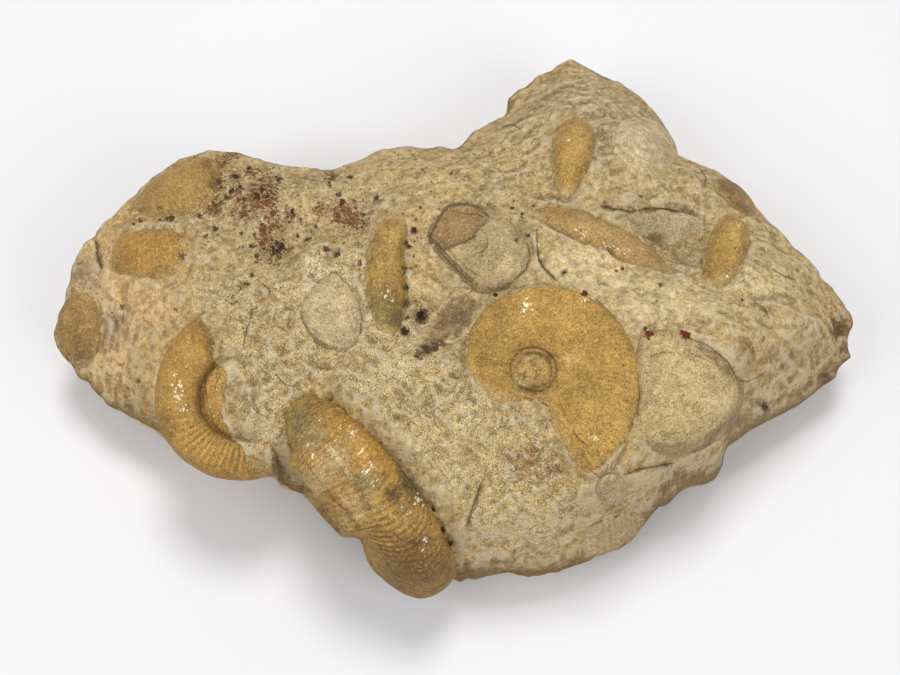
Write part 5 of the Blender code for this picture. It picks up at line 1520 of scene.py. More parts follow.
def paint_coil(name, verts, data):
    uv = seen_at(verts)
    q, back, line, groove = data["q"], data["back"], data["line"], data["groove"]
    mix = lambda c, rgb, w: c * (1 - w[:, None]) + np.asarray(rgb) * w[:, None]
    if name == "ammonite_flat":
        colour = np.tile(tint(183, 144, 80), (len(verts), 1))
        colour = mix(colour, tint(196, 160, 96), 0.5 * smooth(0.35, 0.95, q) * smooth(2.2, 0.4, back))
        colour = mix(colour, tint(170, 130, 68), 0.55 * smooth(0.5, 0.0, q))
        colour = mix(colour, tint(166, 120, 60), 0.45 * smooth(2.6, 4.2, back) * smooth(0.3, 0.9, q))
        colour = mix(colour, tint(176, 142, 90), smooth(0.0, -0.05, q) * 0.9)
        colour = mix(colour, tint(186, 154, 104), smooth(-0.22, -0.5, q) * 0.6)
        speck = smooth(0.15, 0.6, noise(verts, 0.55, 28)) * smooth(-0.05, -0.2, q)
        colour = mix(colour, tint(128, 100, 64), 0.55 * speck)
        uneven = 0.45 + 0.35 * np.cos(back - 2.3) * np.cos(back - 2.3) + 0.30 * noise(verts, 1.8, 44)
        colour = mix(colour, tint(92, 66, 36), np.clip(groove, 0, 1) * np.clip(uneven, 0.1, 0.9))
        colour = patched(colour, uv, verts, [
            (485, 382, 14, 9, -40, tint(168, 104, 48), 0.6, 1.5),
            (476, 350, 9, 26, 0, tint(178, 136, 74), 0.5, 1.4),
            (524, 374, 3, 3, 0, tint(96, 76, 50), 0.8, 2.0), (522, 382, 10, 6, -30, tint(214, 194, 152), 0.55, 1.6),
            (484, 352, 22, 44, 10, tint(158, 122, 66), 0.6, 1.4), (500, 312, 26, 14, 30, tint(166, 130, 72), 0.45, 1.4), (500, 396, 20, 7, 12, tint(170, 136, 84), 0.6, 1.4),
            (572, 359, 9, 6, 0, tint(208, 174, 120), 0.6, 1.5), (600, 330, 22, 14, -40, tint(178, 136, 70), 0.4, 1.3),
            (549, 356, 7, 4, -50, tint(88, 62, 34), 0.7, 1.6),
            (525, 388, 9, 3, -10, tint(96, 70, 40), 0.6, 1.6),
            (612, 372, 16, 40, 0, tint(176, 136, 74), 0.35, 1.3),
            (560, 320, 40, 14, 0, tint(192, 152, 86), 0.35, 1.3),
            (588, 440, 16, 14, 0, tint(180, 140, 76), 0.4, 1.4),
            (504, 322, 14, 8, 30, tint(166, 128, 70), 0.35, 1.4),
            (568, 392, 24, 12, 0, tint(186, 148, 84), 0.35, 1.3),
        ])
        colour = lined(colour, uv, [
            ([(573, 430), (578, 440), (587, 446)], 1.2, tint(128, 92, 46), 0.7),
            ([(560, 404), (568, 420), (573, 430), (572, 444)], 1.2, tint(132, 96, 50), 0.6),
            ([(592, 436), (599, 441)], 1.3, tint(222, 204, 158), 0.8),
            # dark line on the right edge: painted shade in the gap against the round shell
            ([(640, 356), (641, 376), (640, 396), (637, 412), (630, 430)], 2.2, tint(100, 70, 38), 0.75),
            ([(567, 446), (572, 460), (580, 468), (590, 470)], 2.0, tint(146, 92, 48), 0.6),
            ([(531, 393), (540, 391), (549, 386), (556, 376)], 1.1, tint(128, 94, 50), 0.6),
        ])
    elif name == "ammonite_ribbed":
        colour = np.tile(tint(172, 134, 74), (len(verts), 1))
        colour = mix(colour, tint(190, 154, 92), 0.55 * np.clip(line, 0, 1))
        colour = mix(colour, tint(134, 100, 54), 0.55 * np.clip(-line, 0, 1))
        colour = mix(colour, tint(88, 66, 38), np.clip(groove, 0, 1) * 0.75)
        colour = patched(colour, uv, verts, [
            (182, 350, 12, 24, 15, tint(178, 140, 80), 0.4, 1.4),
            (194, 330, 10, 8, 30, tint(150, 118, 70), 0.5, 1.4),
            (200, 402, 5, 18, 0, tint(92, 68, 38), 0.5, 1.4),
            (262, 466, 15, 16, 0, tint(128, 104, 68), 0.92, 2.4), (252, 470, 5, 10, 0, tint(96, 72, 44), 0.6, 1.6),
            (200, 320, 12, 7, -40, tint(120, 98, 60), 0.6, 1.5), (213, 344, 6, 18, 10, tint(100, 82, 50), 0.65, 1.5), (168, 425, 12, 16, -30, tint(132, 102, 60), 0.5, 1.4),
            (216, 455, 22, 9, -35, tint(184, 142, 80), 0.4, 1.4),
            (224, 385, 5, 8, 0, tint(186, 160, 112), 0.5, 1.5),
            (240, 470, 16, 6, -20, tint(162, 120, 66), 0.5, 1.4),
        ])
    else:
        colour = np.tile(tint(172, 136, 78), (len(verts), 1))
        low_end = smooth(505, 560, uv[:, 1])
        colour = mix(colour, tint(206, 164, 98), np.clip((0.35 + 0.9 * low_end) * np.clip(line, 0, 1), 0, 0.8))
        colour = mix(colour, tint(112, 84, 46), np.clip((0.55 + 0.40 * low_end) * np.clip(-1.3 * line * (1 + 1.4 * low_end), 0, 1), 0, 0.85))
        colour = mix(colour, tint(120, 92, 54), 0.6 * smooth(0.1, -0.5, q))
        colour = mix(colour, tint(76, 56, 34), np.clip(groove, 0, 1) * 0.6)
        olive = smooth(-0.1, 0.6, noise(verts, 5.5, 56)) * 0.45 + smooth(0.0, 0.6, noise(verts, 1.6, 57)) * 0.35
        colour = mix(colour, tint(116, 92, 54), np.clip(olive, 0, 0.75))
        colour = patched(colour, uv, verts, [
            (340, 425, 26, 12, -35, tint(190, 144, 74), 0.6, 1.4),
            (360, 446, 22, 14, -45, tint(190, 144, 76), 0.65, 1.6),
            (385, 462, 20, 12, -50, tint(186, 140, 74), 0.5, 1.4),
            (414, 474, 17, 19, -40, tint(86, 78, 50), 0.90, 2.0),
            (424, 490, 12, 14, -30, tint(96, 82, 52), 0.75, 1.9),
            (368, 480, 12, 10, -40, tint(140, 128, 98), 0.8, 1.8),
            (392, 496, 10, 10, -30, tint(80, 64, 40), 0.75, 2.0),
            (404, 508, 10, 8, -30, tint(108, 92, 58), 0.6, 1.9),
            (299, 424, 13, 20, -10, tint(134, 122, 92), 0.75, 1.6),
            (312, 440, 10, 20, -35, tint(158, 138, 104), 0.6, 1.6),
            (296, 408, 10, 8, 0, tint(150, 128, 84), 0.5, 1.4),
            (324, 474, 16, 36, -38, tint(180, 156, 122), 0.85, 1.6),
            (350, 512, 16, 24, -38, tint(182, 156, 118), 0.80, 1.6),
            (334, 506, 8, 18, 40, tint(160, 122, 70), 0.55, 1.5),
            (414, 562, 32, 28, 0, tint(112, 80, 44), 0.85, 1.7),
            (396, 582, 26, 12, 25, tint(132, 98, 58), 0.5, 1.4),
            (415, 538, 24, 6, -10, tint(98, 70, 40), 0.6, 1.6),
            (437, 540, 12, 26, 0, tint(150, 114, 66), 0.5, 1.4),
            (430, 505, 12, 14, 0, tint(160, 124, 72), 0.4, 1.4),
            (404, 520, 16, 18, 0, tint(176, 136, 78), 0.4, 1.4),
            (395, 424, 2.6, 2.6, 0, SOOT, 0.9, 2.2),
            (336, 400, 20, 4, -15, tint(206, 182, 134), 0.5, 1.5),
        ])
        colour = lined(colour, uv, [
            ([(324, 490), (336, 500), (349, 514), (360, 530)], 3.0, tint(112, 84, 50), 0.7),
            # pale line along the crest of the flank: painted highlight
            ([(327, 446), (336, 456), (346, 470), (352, 482)], 2.6, tint(226, 208, 170), 0.65),
            ([(338, 466), (350, 480), (362, 494), (372, 510)], 2.4, tint(104, 86, 56), 0.55),
            ([(372, 500), (384, 512), (398, 520), (412, 524)], 2.2, tint(200, 166, 112), 0.5),
            ([(335, 391), (366, 409), (398, 435), (424, 466), (441, 492)], 1.8, tint(206, 184, 138), 0.45),
        ])
    into = inside(uv, COILS[name]["exposed"]) + 4.5 * noise(verts, 2.6, 47) + 2.0 * noise(verts, 1.0, 48)
    if name == "ammonite_ribbed":
        into = np.minimum(into + 4, 20)
    w = smooth(5.0, -1.0, into) * {"ammonite_flat": 0.45, "ammonite_ribbed": 0.55}.get(name, 0.45)
    if name == "ammonite_flat":
        fade = smooth(9, -3, inside(uv, COILS[name]["exposed"]) + 3.0 * noise(verts, 2.6, 47))
        side = smooth(-10, 10, inside(uv, [(458, 350), (486, 378), (510, 388), (545, 390), (566, 410), (590, 480), (560, 480), (520, 430), (470, 410)]))
        colour = mix(colour, tint(196, 168, 120), 0.75 * fade * side)
        corner = smooth(16, -2, inside(uv, COILS[name]["exposed"]) + 5.0 * noise(verts, 3.4, 49)) * side
        colour = mix(colour, tint(178, 146, 96), 0.45 * corner)
    colour = mix(colour, tint(180, 154, 104), w)
    colour *= (1 + 0.10 * noise(verts, 5.0, 29) + 0.08 * noise(verts, 1.6, 30))[:, None]
    colour *= {"ammonite_flat": (0.735, 0.735, 0.565), "ammonite_ribbed": (0.84, 0.82, 0.65),
               "ammonite_standing": (0.79, 0.765, 0.59)}[name]
    return np.clip(colour, 0.008, 0.95)


SHELL_LOOK = {
    # base, edge tint, growth-line strength, patches
    "ammonite_back_far": (tint(176, 138, 77), tint(150, 116, 62), 0.5, [
        (574, 140, 9, 22, 0, tint(190, 152, 88), 0.5, 1.4), (566, 190, 8, 8, 0, tint(196, 172, 122), 0.45, 1.4)]),
    "ammonite_back_band": (tint(184, 150, 94), tint(150, 120, 72), 0.4, [
        (560, 216, 16, 7, -10, tint(176, 134, 74), 0.6, 1.4), (620, 240, 22, 7, -28, tint(192, 160, 104), 0.5, 1.4)]),
    "ammonite_back_right": (tint(170, 132, 73), tint(138, 104, 56), 0.5, [
        (736, 236, 6, 18, 0, tint(186, 146, 82), 0.5, 1.4), (716, 272, 10, 10, 0, tint(150, 116, 66), 0.5, 1.4)]),
    "ammonite_back_middle": (tint(164, 130, 73), tint(112, 90, 52), 0.55, [
        (390, 232, 14, 14, 0, tint(178, 140, 80), 0.6, 1.4), (390, 310, 16, 20, 0, tint(118, 104, 64), 0.75, 1.5),
        (380, 296, 10, 12, 0, tint(104, 88, 56), 0.5, 1.4), 
        (398, 320, 8, 8, 0, tint(74, 62, 42), 0.6, 1.6)]),
    "ammonite_flank_left": (tint(174, 134, 72), tint(158, 122, 68), 0.35, [
        (140, 250, 22, 12, 0, tint(180, 138, 74), 0.5, 1.4), 
        (160, 264, 16, 6, 0, tint(186, 150, 92), 0.5, 1.4), (120, 262, 8, 8, 0, tint(150, 114, 64), 0.5, 1.4)]),
    "ammonite_back_corner": (tint(171, 139, 82), tint(160, 130, 80), 0.35, [
        (180, 182, 30, 14, 30, tint(182, 144, 80), 0.5, 1.4), (216, 180, 7, 8, 0, tint(112, 74, 38), 0.75, 1.6),
        (158, 208, 2.6, 2.2, 0, SOOT, 0.9, 2.0), (168, 219, 9, 3, 0, tint(76, 58, 38), 0.7, 1.6),
        (201, 213, 7, 3, 0, tint(86, 64, 42), 0.6, 1.6), (138, 212, 7, 3, 0, tint(90, 68, 42), 0.6, 1.6),
        (208, 164, 5, 4, 0, tint(110, 74, 42), 0.7, 1.8)]),
    "ammonite_scrap_right": (tint(150, 122, 80), tint(120, 92, 56), 0.3, [
        (728, 188, 9, 7, -40, tint(104, 78, 48), 0.7, 1.5), (742, 196, 8, 5, -40, tint(150, 108, 60), 0.6, 1.4),
        (740, 208, 10, 4, -40, tint(92, 68, 42), 0.6, 1.5), (750, 198, 4, 8, -40, tint(190, 150, 90), 0.6, 1.5)]),
    "ammonite_knob_left": (tint(158, 124, 75), tint(134, 102, 62), 0.3, [
        (78, 346, 6, 14, 0, tint(120, 90, 54), 0.6, 1.5), (84, 312, 12, 12, 0, tint(170, 136, 88), 0.5, 1.4)]),
    "shell_tilted": (tint(184, 162, 122), tint(150, 130, 96), 0.5, [
        (505, 245, 20, 26, 0, tint(193, 171, 130), 0.6, 1.5), (500, 270, 22, 12, 0, tint(200, 180, 140), 0.5, 1.5),
        # the first patch here: painted shade at the shell's back edge
        (520, 234, 9, 9, 0, tint(136, 124, 94), 0.6, 1.5), (480, 268, 12, 12, 0, tint(176, 152, 112), 0.5, 1.4)]),
    "shell_oval_left": (tint(196, 173, 131), tint(160, 138, 100), 0.25, [
        (330, 300, 18, 16, 0, tint(202, 180, 138), 0.5, 1.4), (344, 336, 12, 12, 0, tint(184, 162, 122), 0.5, 1.4)]),
    "shell_round_right": (tint(192, 168, 121), tint(172, 148, 104), 0.2, [
        (690, 370, 36, 26, 0, tint(198, 175, 130), 0.5, 1.4), (680, 424, 30, 14, 0, tint(186, 162, 114), 0.5, 1.4),
        (652, 372, 10, 26, 0, tint(176, 152, 106), 0.5, 1.4),
        # painted highlight on the lower right margin
        (722, 402, 14, 12, 0, tint(204, 182, 138), 0.5, 1.4)]),
    # the dark hollow: its dark tint and near-black lower crescent are partly painted shade in the depression
    "shell_dark_hollow": (tint(138, 114, 84), tint(66, 52, 42), 0.5, [
        (466, 304, 12, 8, -30, tint(168, 142, 108), 0.6, 1.4), (450, 326, 12, 10, -30, tint(128, 102, 82), 0.5, 1.4),
        (428, 349, 10, 4, -20, tint(36, 28, 28), 0.9, 1.8), (441, 345, 12, 3, -20, tint(52, 40, 36), 0.8, 1.8),
        (462, 322, 6, 8, -30, tint(112, 92, 78), 0.6, 1.5)]),
    "shell_dome_far": (tint(194, 172, 133), tint(168, 146, 108), 0.25, [
        (646, 132, 22, 10, 0, tint(206, 186, 148), 0.5, 1.4), (660, 158, 12, 10, 0, tint(178, 156, 118), 0.5, 1.4)]),
    "shell_lens_hollow": (tint(162, 146, 114), tint(150, 132, 100), 0.3, [
        (649, 236, 13, 4, 0, tint(112, 82, 50), 0.85, 1.8), (655, 240, 10, 3, 10, tint(96, 70, 44), 0.6, 1.6),
        (676, 222, 18, 6, 0, tint(172, 156, 124), 0.5, 1.4), (640, 220, 12, 5, 0, tint(160, 140, 106), 0.5, 1.4)]),
    "shell_ribbed_front": (tint(190, 162, 116), tint(160, 130, 86), 0.6, []),
    "shell_small_front": (tint(192, 170, 130), tint(178, 154, 112), 0.2, [
        (609, 486, 7, 5, 0, tint(176, 140, 98), 0.4, 1.5), (617, 496, 10, 5, -30, tint(196, 176, 136), 0.6, 1.4)]),
}


SHELL_GAIN = {
    "ammonite_back_far": (0.79, 0.80, 0.71), "ammonite_back_band": (0.73, 0.73, 0.67),
    "ammonite_back_right": (0.83, 0.86, 0.77), "ammonite_back_middle": (0.85, 0.85, 0.72),
    "ammonite_flank_left": (0.73, 0.71, 0.56), "ammonite_back_corner": (0.72, 0.69, 0.57),
    "shell_tilted": (0.71, 0.69, 0.63), "shell_round_right": (0.80, 0.79, 0.77),
    "shell_dark_hollow": (0.84, 0.82, 0.72),
}


def paint_shell(name, verts, data):
    uv = seen_at(verts)
    base, edge, lines, patches = SHELL_LOOK[name]
    colour = np.tile(base, (len(verts), 1))
    w = (smooth(0.60, 1.0, data["share"]) * 0.5)[:, None]
    colour = colour * (1 - w) + edge * w
    if name.startswith("ammonite"):
        frayed = data["share"] + 0.10 * noise(verts, 2.2, 39) + 0.06 * noise(verts, 0.9, 40)
        w = (smooth(0.80, 1.02, frayed) * 0.65)[:, None]
        colour = colour * (1 - w) + tint(184, 160, 114) * w
    if name in ("shell_dark_hollow", "shell_lens_hollow", "shell_dome_far", "shell_ribbed_front"):
        frayed = data["share"] + 0.16 * noise(verts, 2.2, 39) + 0.10 * noise(verts, 0.9, 40)
        w = (smooth(0.70, 1.0, frayed) * (0.30 if name == "shell_lens_hollow" else 0.75))[:, None]
        colour = colour * (1 - w) + tint(206, 184, 142) * w
        crumb = (smooth(0.25, 0.6, noise(verts, 1.0, 43)) * (0.15 if name == "shell_lens_hollow" else 0.4))[:, None]
        colour = colour * (1 - crumb) + tint(214, 196, 158) * crumb
    # dark line at the outline: painted shade in the gap round the shell
    if name in ("shell_oval_left", "shell_tilted", "shell_round_right"):
        w = (smooth(0.93, 0.985, data["share"]) * (0.35 + 0.35 * noise(verts, 3.0, 46)))[:, None]
        colour = colour * (1 - w) + tint(84, 68, 48) * w
    colour *= (1 + lines * 0.07 * data["line"])[:, None]
    if name == "shell_tilted":
        brown = smooth(-0.8, 1.0, inside(uv, TILTED_BROWN))[:, None]
        rays = noise(np.column_stack([data["x"] * 0.35, data["y"] * 1.3, data["x"] * 0]), 1.0, 34)
        wood = tint(158, 128, 88) * (1 + 0.14 * rays)[:, None]
        colour = colour * (1 - brown) + wood * brown
        # dark rim round the brown piece: painted shade in the gap
        rim = np.exp(-((inside(uv, TILTED_BROWN) / 1.4) ** 2))[:, None] * 0.75
        colour = colour * (1 - rim) + tint(82, 64, 44) * rim
    colour = patched(colour, uv, verts, patches)
    if name == "shell_tilted":
        colour = lined(colour, uv, [
            ([(436, 247), (450, 262), (462, 274), (474, 285)], 1.2, tint(96, 78, 56), 0.8),
            ([(440, 242), (454, 256), (468, 268), (482, 278)], 1.0, tint(120, 100, 72), 0.7),
            ([(477, 228), (490, 236), (500, 250), (502, 266)], 1.0, tint(150, 130, 96), 0.5),
            ([(484, 222), (500, 226), (514, 238), (520, 254)], 1.0, tint(208, 190, 152), 0.5),
        ])
    if name == "shell_round_right":
        colour = lined(colour, uv, [
            ([(650, 356), (676, 352), (704, 364), (720, 382)], 1.1, tint(168, 144, 102), 0.5),
            ([(648, 420), (664, 432), (688, 434), (710, 424)], 1.1, tint(160, 136, 96), 0.5),
            # pale band on the lower right margin: painted highlight
            ([(706, 398), (716, 404), (724, 410)], 1.2, tint(222, 206, 168), 0.7),
        ])
    colour *= (1 + 0.09 * noise(verts, 4.0, 37) + 0.08 * noise(verts, 1.5, 38))[:, None]
    colour *= SHELL_GAIN.get(name, (0.78, 0.77, 0.66) if name.startswith("ammonite") else (0.76, 0.76, 0.76))
    return np.clip(colour, 0.008, 0.95)


# ------------------------------------------------------------------ materials
class Graph:
    """A small helper that writes a material's nodes."""

    def __init__(self, name):
        self.material = bpy.data.materials.new(name)
        self.material.use_nodes = True
        self.tree = self.material.node_tree
        self.shader = self.tree.nodes["Principled BSDF"]
        space = self.tree.nodes.new("ShaderNodeTexCoord").outputs["Object"]
        self.mm = self.scale(space, 1000.0)

    def link(self, value, socket):
        if isinstance(value, bpy.types.NodeSocket):
            self.tree.links.new(value, socket)
        else:
            socket.default_value = value

    def scale(self, vector, factor):
        node = self.tree.nodes.new("ShaderNodeVectorMath")
        node.operation = "SCALE"
        self.link(vector, node.inputs[0])
        node.inputs["Scale"].default_value = factor
        return node.outputs[0]

    def vector(self, kind, a, b):
        node = self.tree.nodes.new("ShaderNodeVectorMath")
        node.operation = kind
        self.link(a, node.inputs[0])
        self.link(b, node.inputs[1])
        return node.outputs[0]

    def math(self, kind, a, b=0.0, clamp=False):
        node = self.tree.nodes.new("ShaderNodeMath")
        node.operation = kind
        node.use_clamp = clamp
        self.link(a, node.inputs[0])
        self.link(b, node.inputs[1])
        return node.outputs[0]

    def span(self, value, low, high, to_low=0.0, to_high=1.0):
        node = self.tree.nodes.new("ShaderNodeMapRange")
        node.interpolation_type = "SMOOTHSTEP"
        self.link(value, node.inputs["Value"])
        for key, x in (("From Min", low), ("From Max", high), ("To Min", to_low), ("To Max", to_high)):
            node.inputs[key].default_value = x
        return node.outputs[0]

    def noise(self, vector, per_mm, detail=3.0, rough=0.55, warp=0.0, colour=False):
        node = self.tree.nodes.new("ShaderNodeTexNoise")
        self.link(vector, node.inputs["Vector"])
        node.inputs["Scale"].default_value = per_mm
        node.inputs["Detail"].default_value = detail
        node.inputs["Roughness"].default_value = rough
        node.inputs["Distortion"].default_value = warp
        return node.outputs["Color" if colour else "Fac"]

    def cells(self, vector, per_mm, feature="F1"):
        node = self.tree.nodes.new("ShaderNodeTexVoronoi")
        node.feature = feature
        self.link(vector, node.inputs["Vector"])
        node.inputs["Scale"].default_value = per_mm
        return node

    def attribute(self, name, colour=False):
        node = self.tree.nodes.new("ShaderNodeAttribute")
        node.attribute_name = name
        return node.outputs["Color" if colour else "Fac"]

    def mix(self, amount, a, b, kind="MIX"):
        node = self.tree.nodes.new("ShaderNodeMix")
        node.data_type = "RGBA"
        node.blend_type = kind
        self.link(amount, node.inputs[0])
        self.link((*a, 1.0) if isinstance(a, (tuple, np.ndarray)) else a, node.inputs[6])
        self.link((*b, 1.0) if isinstance(b, (tuple, np.ndarray)) else b, node.inputs[7])
        return node.outputs[2]

    def gain(self, colour, factor):
        node = self.tree.nodes.new("ShaderNodeVectorMath")
        node.operation = "SCALE"
        self.link(colour, node.inputs[0])
        self.link(factor, node.inputs["Scale"])
        return node.outputs[0]

    def separate(self, colour):
        node = self.tree.nodes.new("ShaderNodeSeparateColor")
        self.link(colour, node.inputs[0])
        return node.outputs

    def strokes(self, turn, seed_shift, length=0.34, across=1.5):
        """Thin short strokes, long along one bearing, 0..1."""
        warp = self.noise(self.vector("ADD", self.mm, (seed_shift, 3.0, 1.0)), 0.28, 2.0, 0.5, colour=True)
        wander = self.scale(self.vector("SUBTRACT", warp, (0.5, 0.5, 0.5)), 2.6)
        place = self.vector("ADD", self.mm, wander)
        turned = self.tree.nodes.new("ShaderNodeVectorRotate")
        turned.rotation_type = "Z_AXIS"
        self.link(place, turned.inputs["Vector"])
        turned.inputs["Angle"].default_value = math.radians(turn)
        stretched = self.vector("MULTIPLY", turned.outputs[0], (length, across, 0.5))
        return self.noise(stretched, 1.0, 2.5, 0.6)

    def finish(self, colour, rough, relief, depth_mm=0.35, strength=1.0):
        self.link(colour, self.shader.inputs["Base Color"])
        self.link(rough, self.shader.inputs["Roughness"])
        bump = self.tree.nodes.new("ShaderNodeBump")
        bump.inputs["Strength"].default_value = strength
        bump.inputs["Distance"].default_value = depth_mm * MM
        self.link(relief, bump.inputs["Height"])
        self.link(bump.outputs[0], self.shader.inputs["Normal"])
        self.shader.inputs["Specular IOR Level"].default_value = 0.25
        return self.material


def crack_and_shade_line_mask(g, breaks):
    """Hair cracks and painted shade lines (the gaps round the fossils, an overhang shadow) from their signed
    distance, broken up a little.
    """
    off = g.math("ABSOLUTE", g.attribute("crack_and_shade_line"))
    off = g.math("ADD", off, g.span(breaks, 0.32, 0.68, -0.45, 0.45))
    return g.math("MULTIPLY", g.span(off, 1.15, 0.35), g.math("MULTIPLY", g.attribute("crack_and_shade_line_here"), g.span(breaks, 0.30, 0.50, 0.45, 1.0)))


def limestone(name):
    g = Graph(name)
    base = g.attribute("tint", True)
    broad = g.noise(g.mm, 0.16, 6.0, 0.62, 0.6)
    middle = g.noise(g.mm, 0.75, 5.0, 0.62, 0.4)
    fine = g.noise(g.mm, 3.2, 4.0, 0.68)
    patch = g.noise(g.vector("ADD", g.mm, (13.0, 21.0, 5.0)), 0.42, 4.0, 0.60, 0.8)
    tone = g.math("ADD", g.span(broad, 0.30, 0.70, -0.14, 0.12), g.span(patch, 0.34, 0.66, -0.22, 0.20))
    tone = g.math("ADD", tone, g.span(middle, 0.36, 0.64, -0.24, 0.22))
    tooled = g.attribute("tooled")
    chalky = g.span(tooled, 0.36, 0.95)
    crisp = g.noise(g.vector("ADD", g.mm, (6.0, 3.0, 8.0)), 4.4, 2.0, 0.6)
    tone = g.math("ADD", tone, g.math("MULTIPLY", g.span(crisp, 0.36, 0.64, -0.5, 0.5), g.math("ADD", g.math("MULTIPLY", chalky, 1.05), 0.60)))
    colour = g.gain(base, g.math("MAXIMUM", g.math("ADD", tone, 1.0), 0.25))
    # olive specks and pale crumbs of the grain, in drifts
    grain = g.noise(g.vector("ADD", g.mm, (1.0, 2.0, 7.0)), 1.8, 4.0, 0.78, 1.2)
    where = g.noise(g.vector("ADD", g.mm, (41.0, 2.0, 17.0)), 0.30, 3.0, 0.55)
    coarse = g.math("MULTIPLY", g.span(where, 0.38, 0.60, 0.30, 1.0), g.math("ADD", g.math("MULTIPLY", chalky, 0.65), 0.35))
    colour = g.mix(g.math("MULTIPLY", g.span(grain, 0.55, 0.66, 0.0, 0.40), coarse), colour, tint(124, 98, 58))
    colour = g.mix(g.math("MULTIPLY", g.span(grain, 0.46, 0.37, 0.0, 0.66), coarse), colour, tint(240, 223, 180))
    # rubbed crests: an uneven pale net, and chalky fields
    vein = g.noise(g.vector("ADD", g.mm, (17.0, 3.0, 29.0)), 0.55, 4.0, 0.62, 0.7)
    crest = g.math("ABSOLUTE", g.math("SUBTRACT", vein, 0.5))
    crest = g.math("MULTIPLY", g.span(crest, 0.045, 0.008), g.span(patch, 0.44, 0.58))
    colour = g.mix(g.math("MULTIPLY", crest, 0.62), colour, tint(244, 232, 200))
    chalk = g.math("MULTIPLY", g.span(patch, 0.56, 0.66), g.span(middle, 0.44, 0.58))
    colour = g.mix(g.math("MULTIPLY", chalk, 0.52), colour, tint(240, 222, 178))
    # ochre and grey drifts
    drift = g.noise(g.vector("ADD", g.mm, (31.0, 7.0, 2.0)), 0.22, 5.0, 0.6, 0.8)
    colour = g.mix(g.span(drift, 0.52, 0.66, 0.0, 0.45), colour, tint(178, 138, 82))
    grey = g.noise(g.vector("ADD", g.mm, (4.0, 47.0, 9.0)), 0.35, 5.0, 0.6, 0.5)
    colour = g.mix(g.span(grey, 0.54, 0.70, 0.0, 0.42), colour, tint(136, 120, 90))
    # dust in the tooling: broken pale strokes, each drift on its own bearing, with dark strokes as painted shadow
    # beside them
    field = g.noise(g.vector("ADD", g.mm, (11.0, 5.0, 3.0)), 0.24, 3.0, 0.6)
    marks, stroke_shadows = None, None
    for turn, shift, low, high in ((36.0, 0.0, 0.50, 0.58), (-46.0, 17.0, 0.50, 0.42)):
        raw = g.strokes(turn, shift)
        here = g.math("MULTIPLY", g.span(field, low, high, 0.15, 1.0), tooled)
        one = g.math("MULTIPLY", g.span(raw, 0.54, 0.62), here)
        two = g.math("MULTIPLY", g.span(raw, 0.44, 0.34), here)
        marks = one if marks is None else g.math("MAXIMUM", marks, one)
        stroke_shadows = two if stroke_shadows is None else g.math("MAXIMUM", stroke_shadows, two)
    marks = g.math("MULTIPLY", marks, g.span(middle, 0.38, 0.52, 0.30, 1.0))
    # dark strokes: painted shadow of the tool marks
    colour = g.mix(g.math("MULTIPLY", stroke_shadows, 0.50), colour, tint(128, 104, 66))
    colour = g.mix(g.math("MULTIPLY", marks, 0.78), colour, tint(248, 233, 192))
    # painted shade darkens the hollows and creases, painted highlight pales the crests
    hollow = g.attribute("hollow")
    colour = g.mix(g.span(hollow, 0.15, 0.9, 0.0, 0.36), colour, tint(118, 92, 56))
    colour = g.mix(g.span(hollow, -0.2, -0.9, 0.0, 0.14), colour, tint(224, 206, 166))
    crevice = g.attribute("crevice")
    colour = g.mix(g.span(crevice, 0.14, 0.9, 0.0, 0.40), colour, tint(112, 88, 52))
    colour = g.mix(g.span(crevice, -0.12, -0.7, 0.0, 0.40), colour, tint(242, 228, 192))
    # dark pinpoints
    dotted = g.attribute("dots")
    stain = g.attribute("stain")
    points = g.cells(g.vector("ADD", g.mm, g.scale(g.noise(g.mm, 1.6, 2.0, colour=True), 1.1)), 0.62)
    kept = g.separate(points.outputs["Color"])
    dot = g.math("MULTIPLY", g.span(points.outputs["Distance"], 0.22, 0.12), g.span(kept[1], 0.60, 0.64))
    small = g.cells(g.vector("ADD", g.mm, g.scale(g.noise(g.mm, 2.2, 2.0, colour=True), 0.8)), 1.15)
    kept2 = g.separate(small.outputs["Color"])
    dot2 = g.math("MULTIPLY", g.span(small.outputs["Distance"], 0.26, 0.14), g.span(kept2[1], 0.62, 0.66))
    dot = g.math("MULTIPLY", g.math("MAXIMUM", dot, dot2), dotted, True)
    colour = g.mix(g.math("MULTIPLY", dot, 0.85), colour, tint(66, 50, 36))
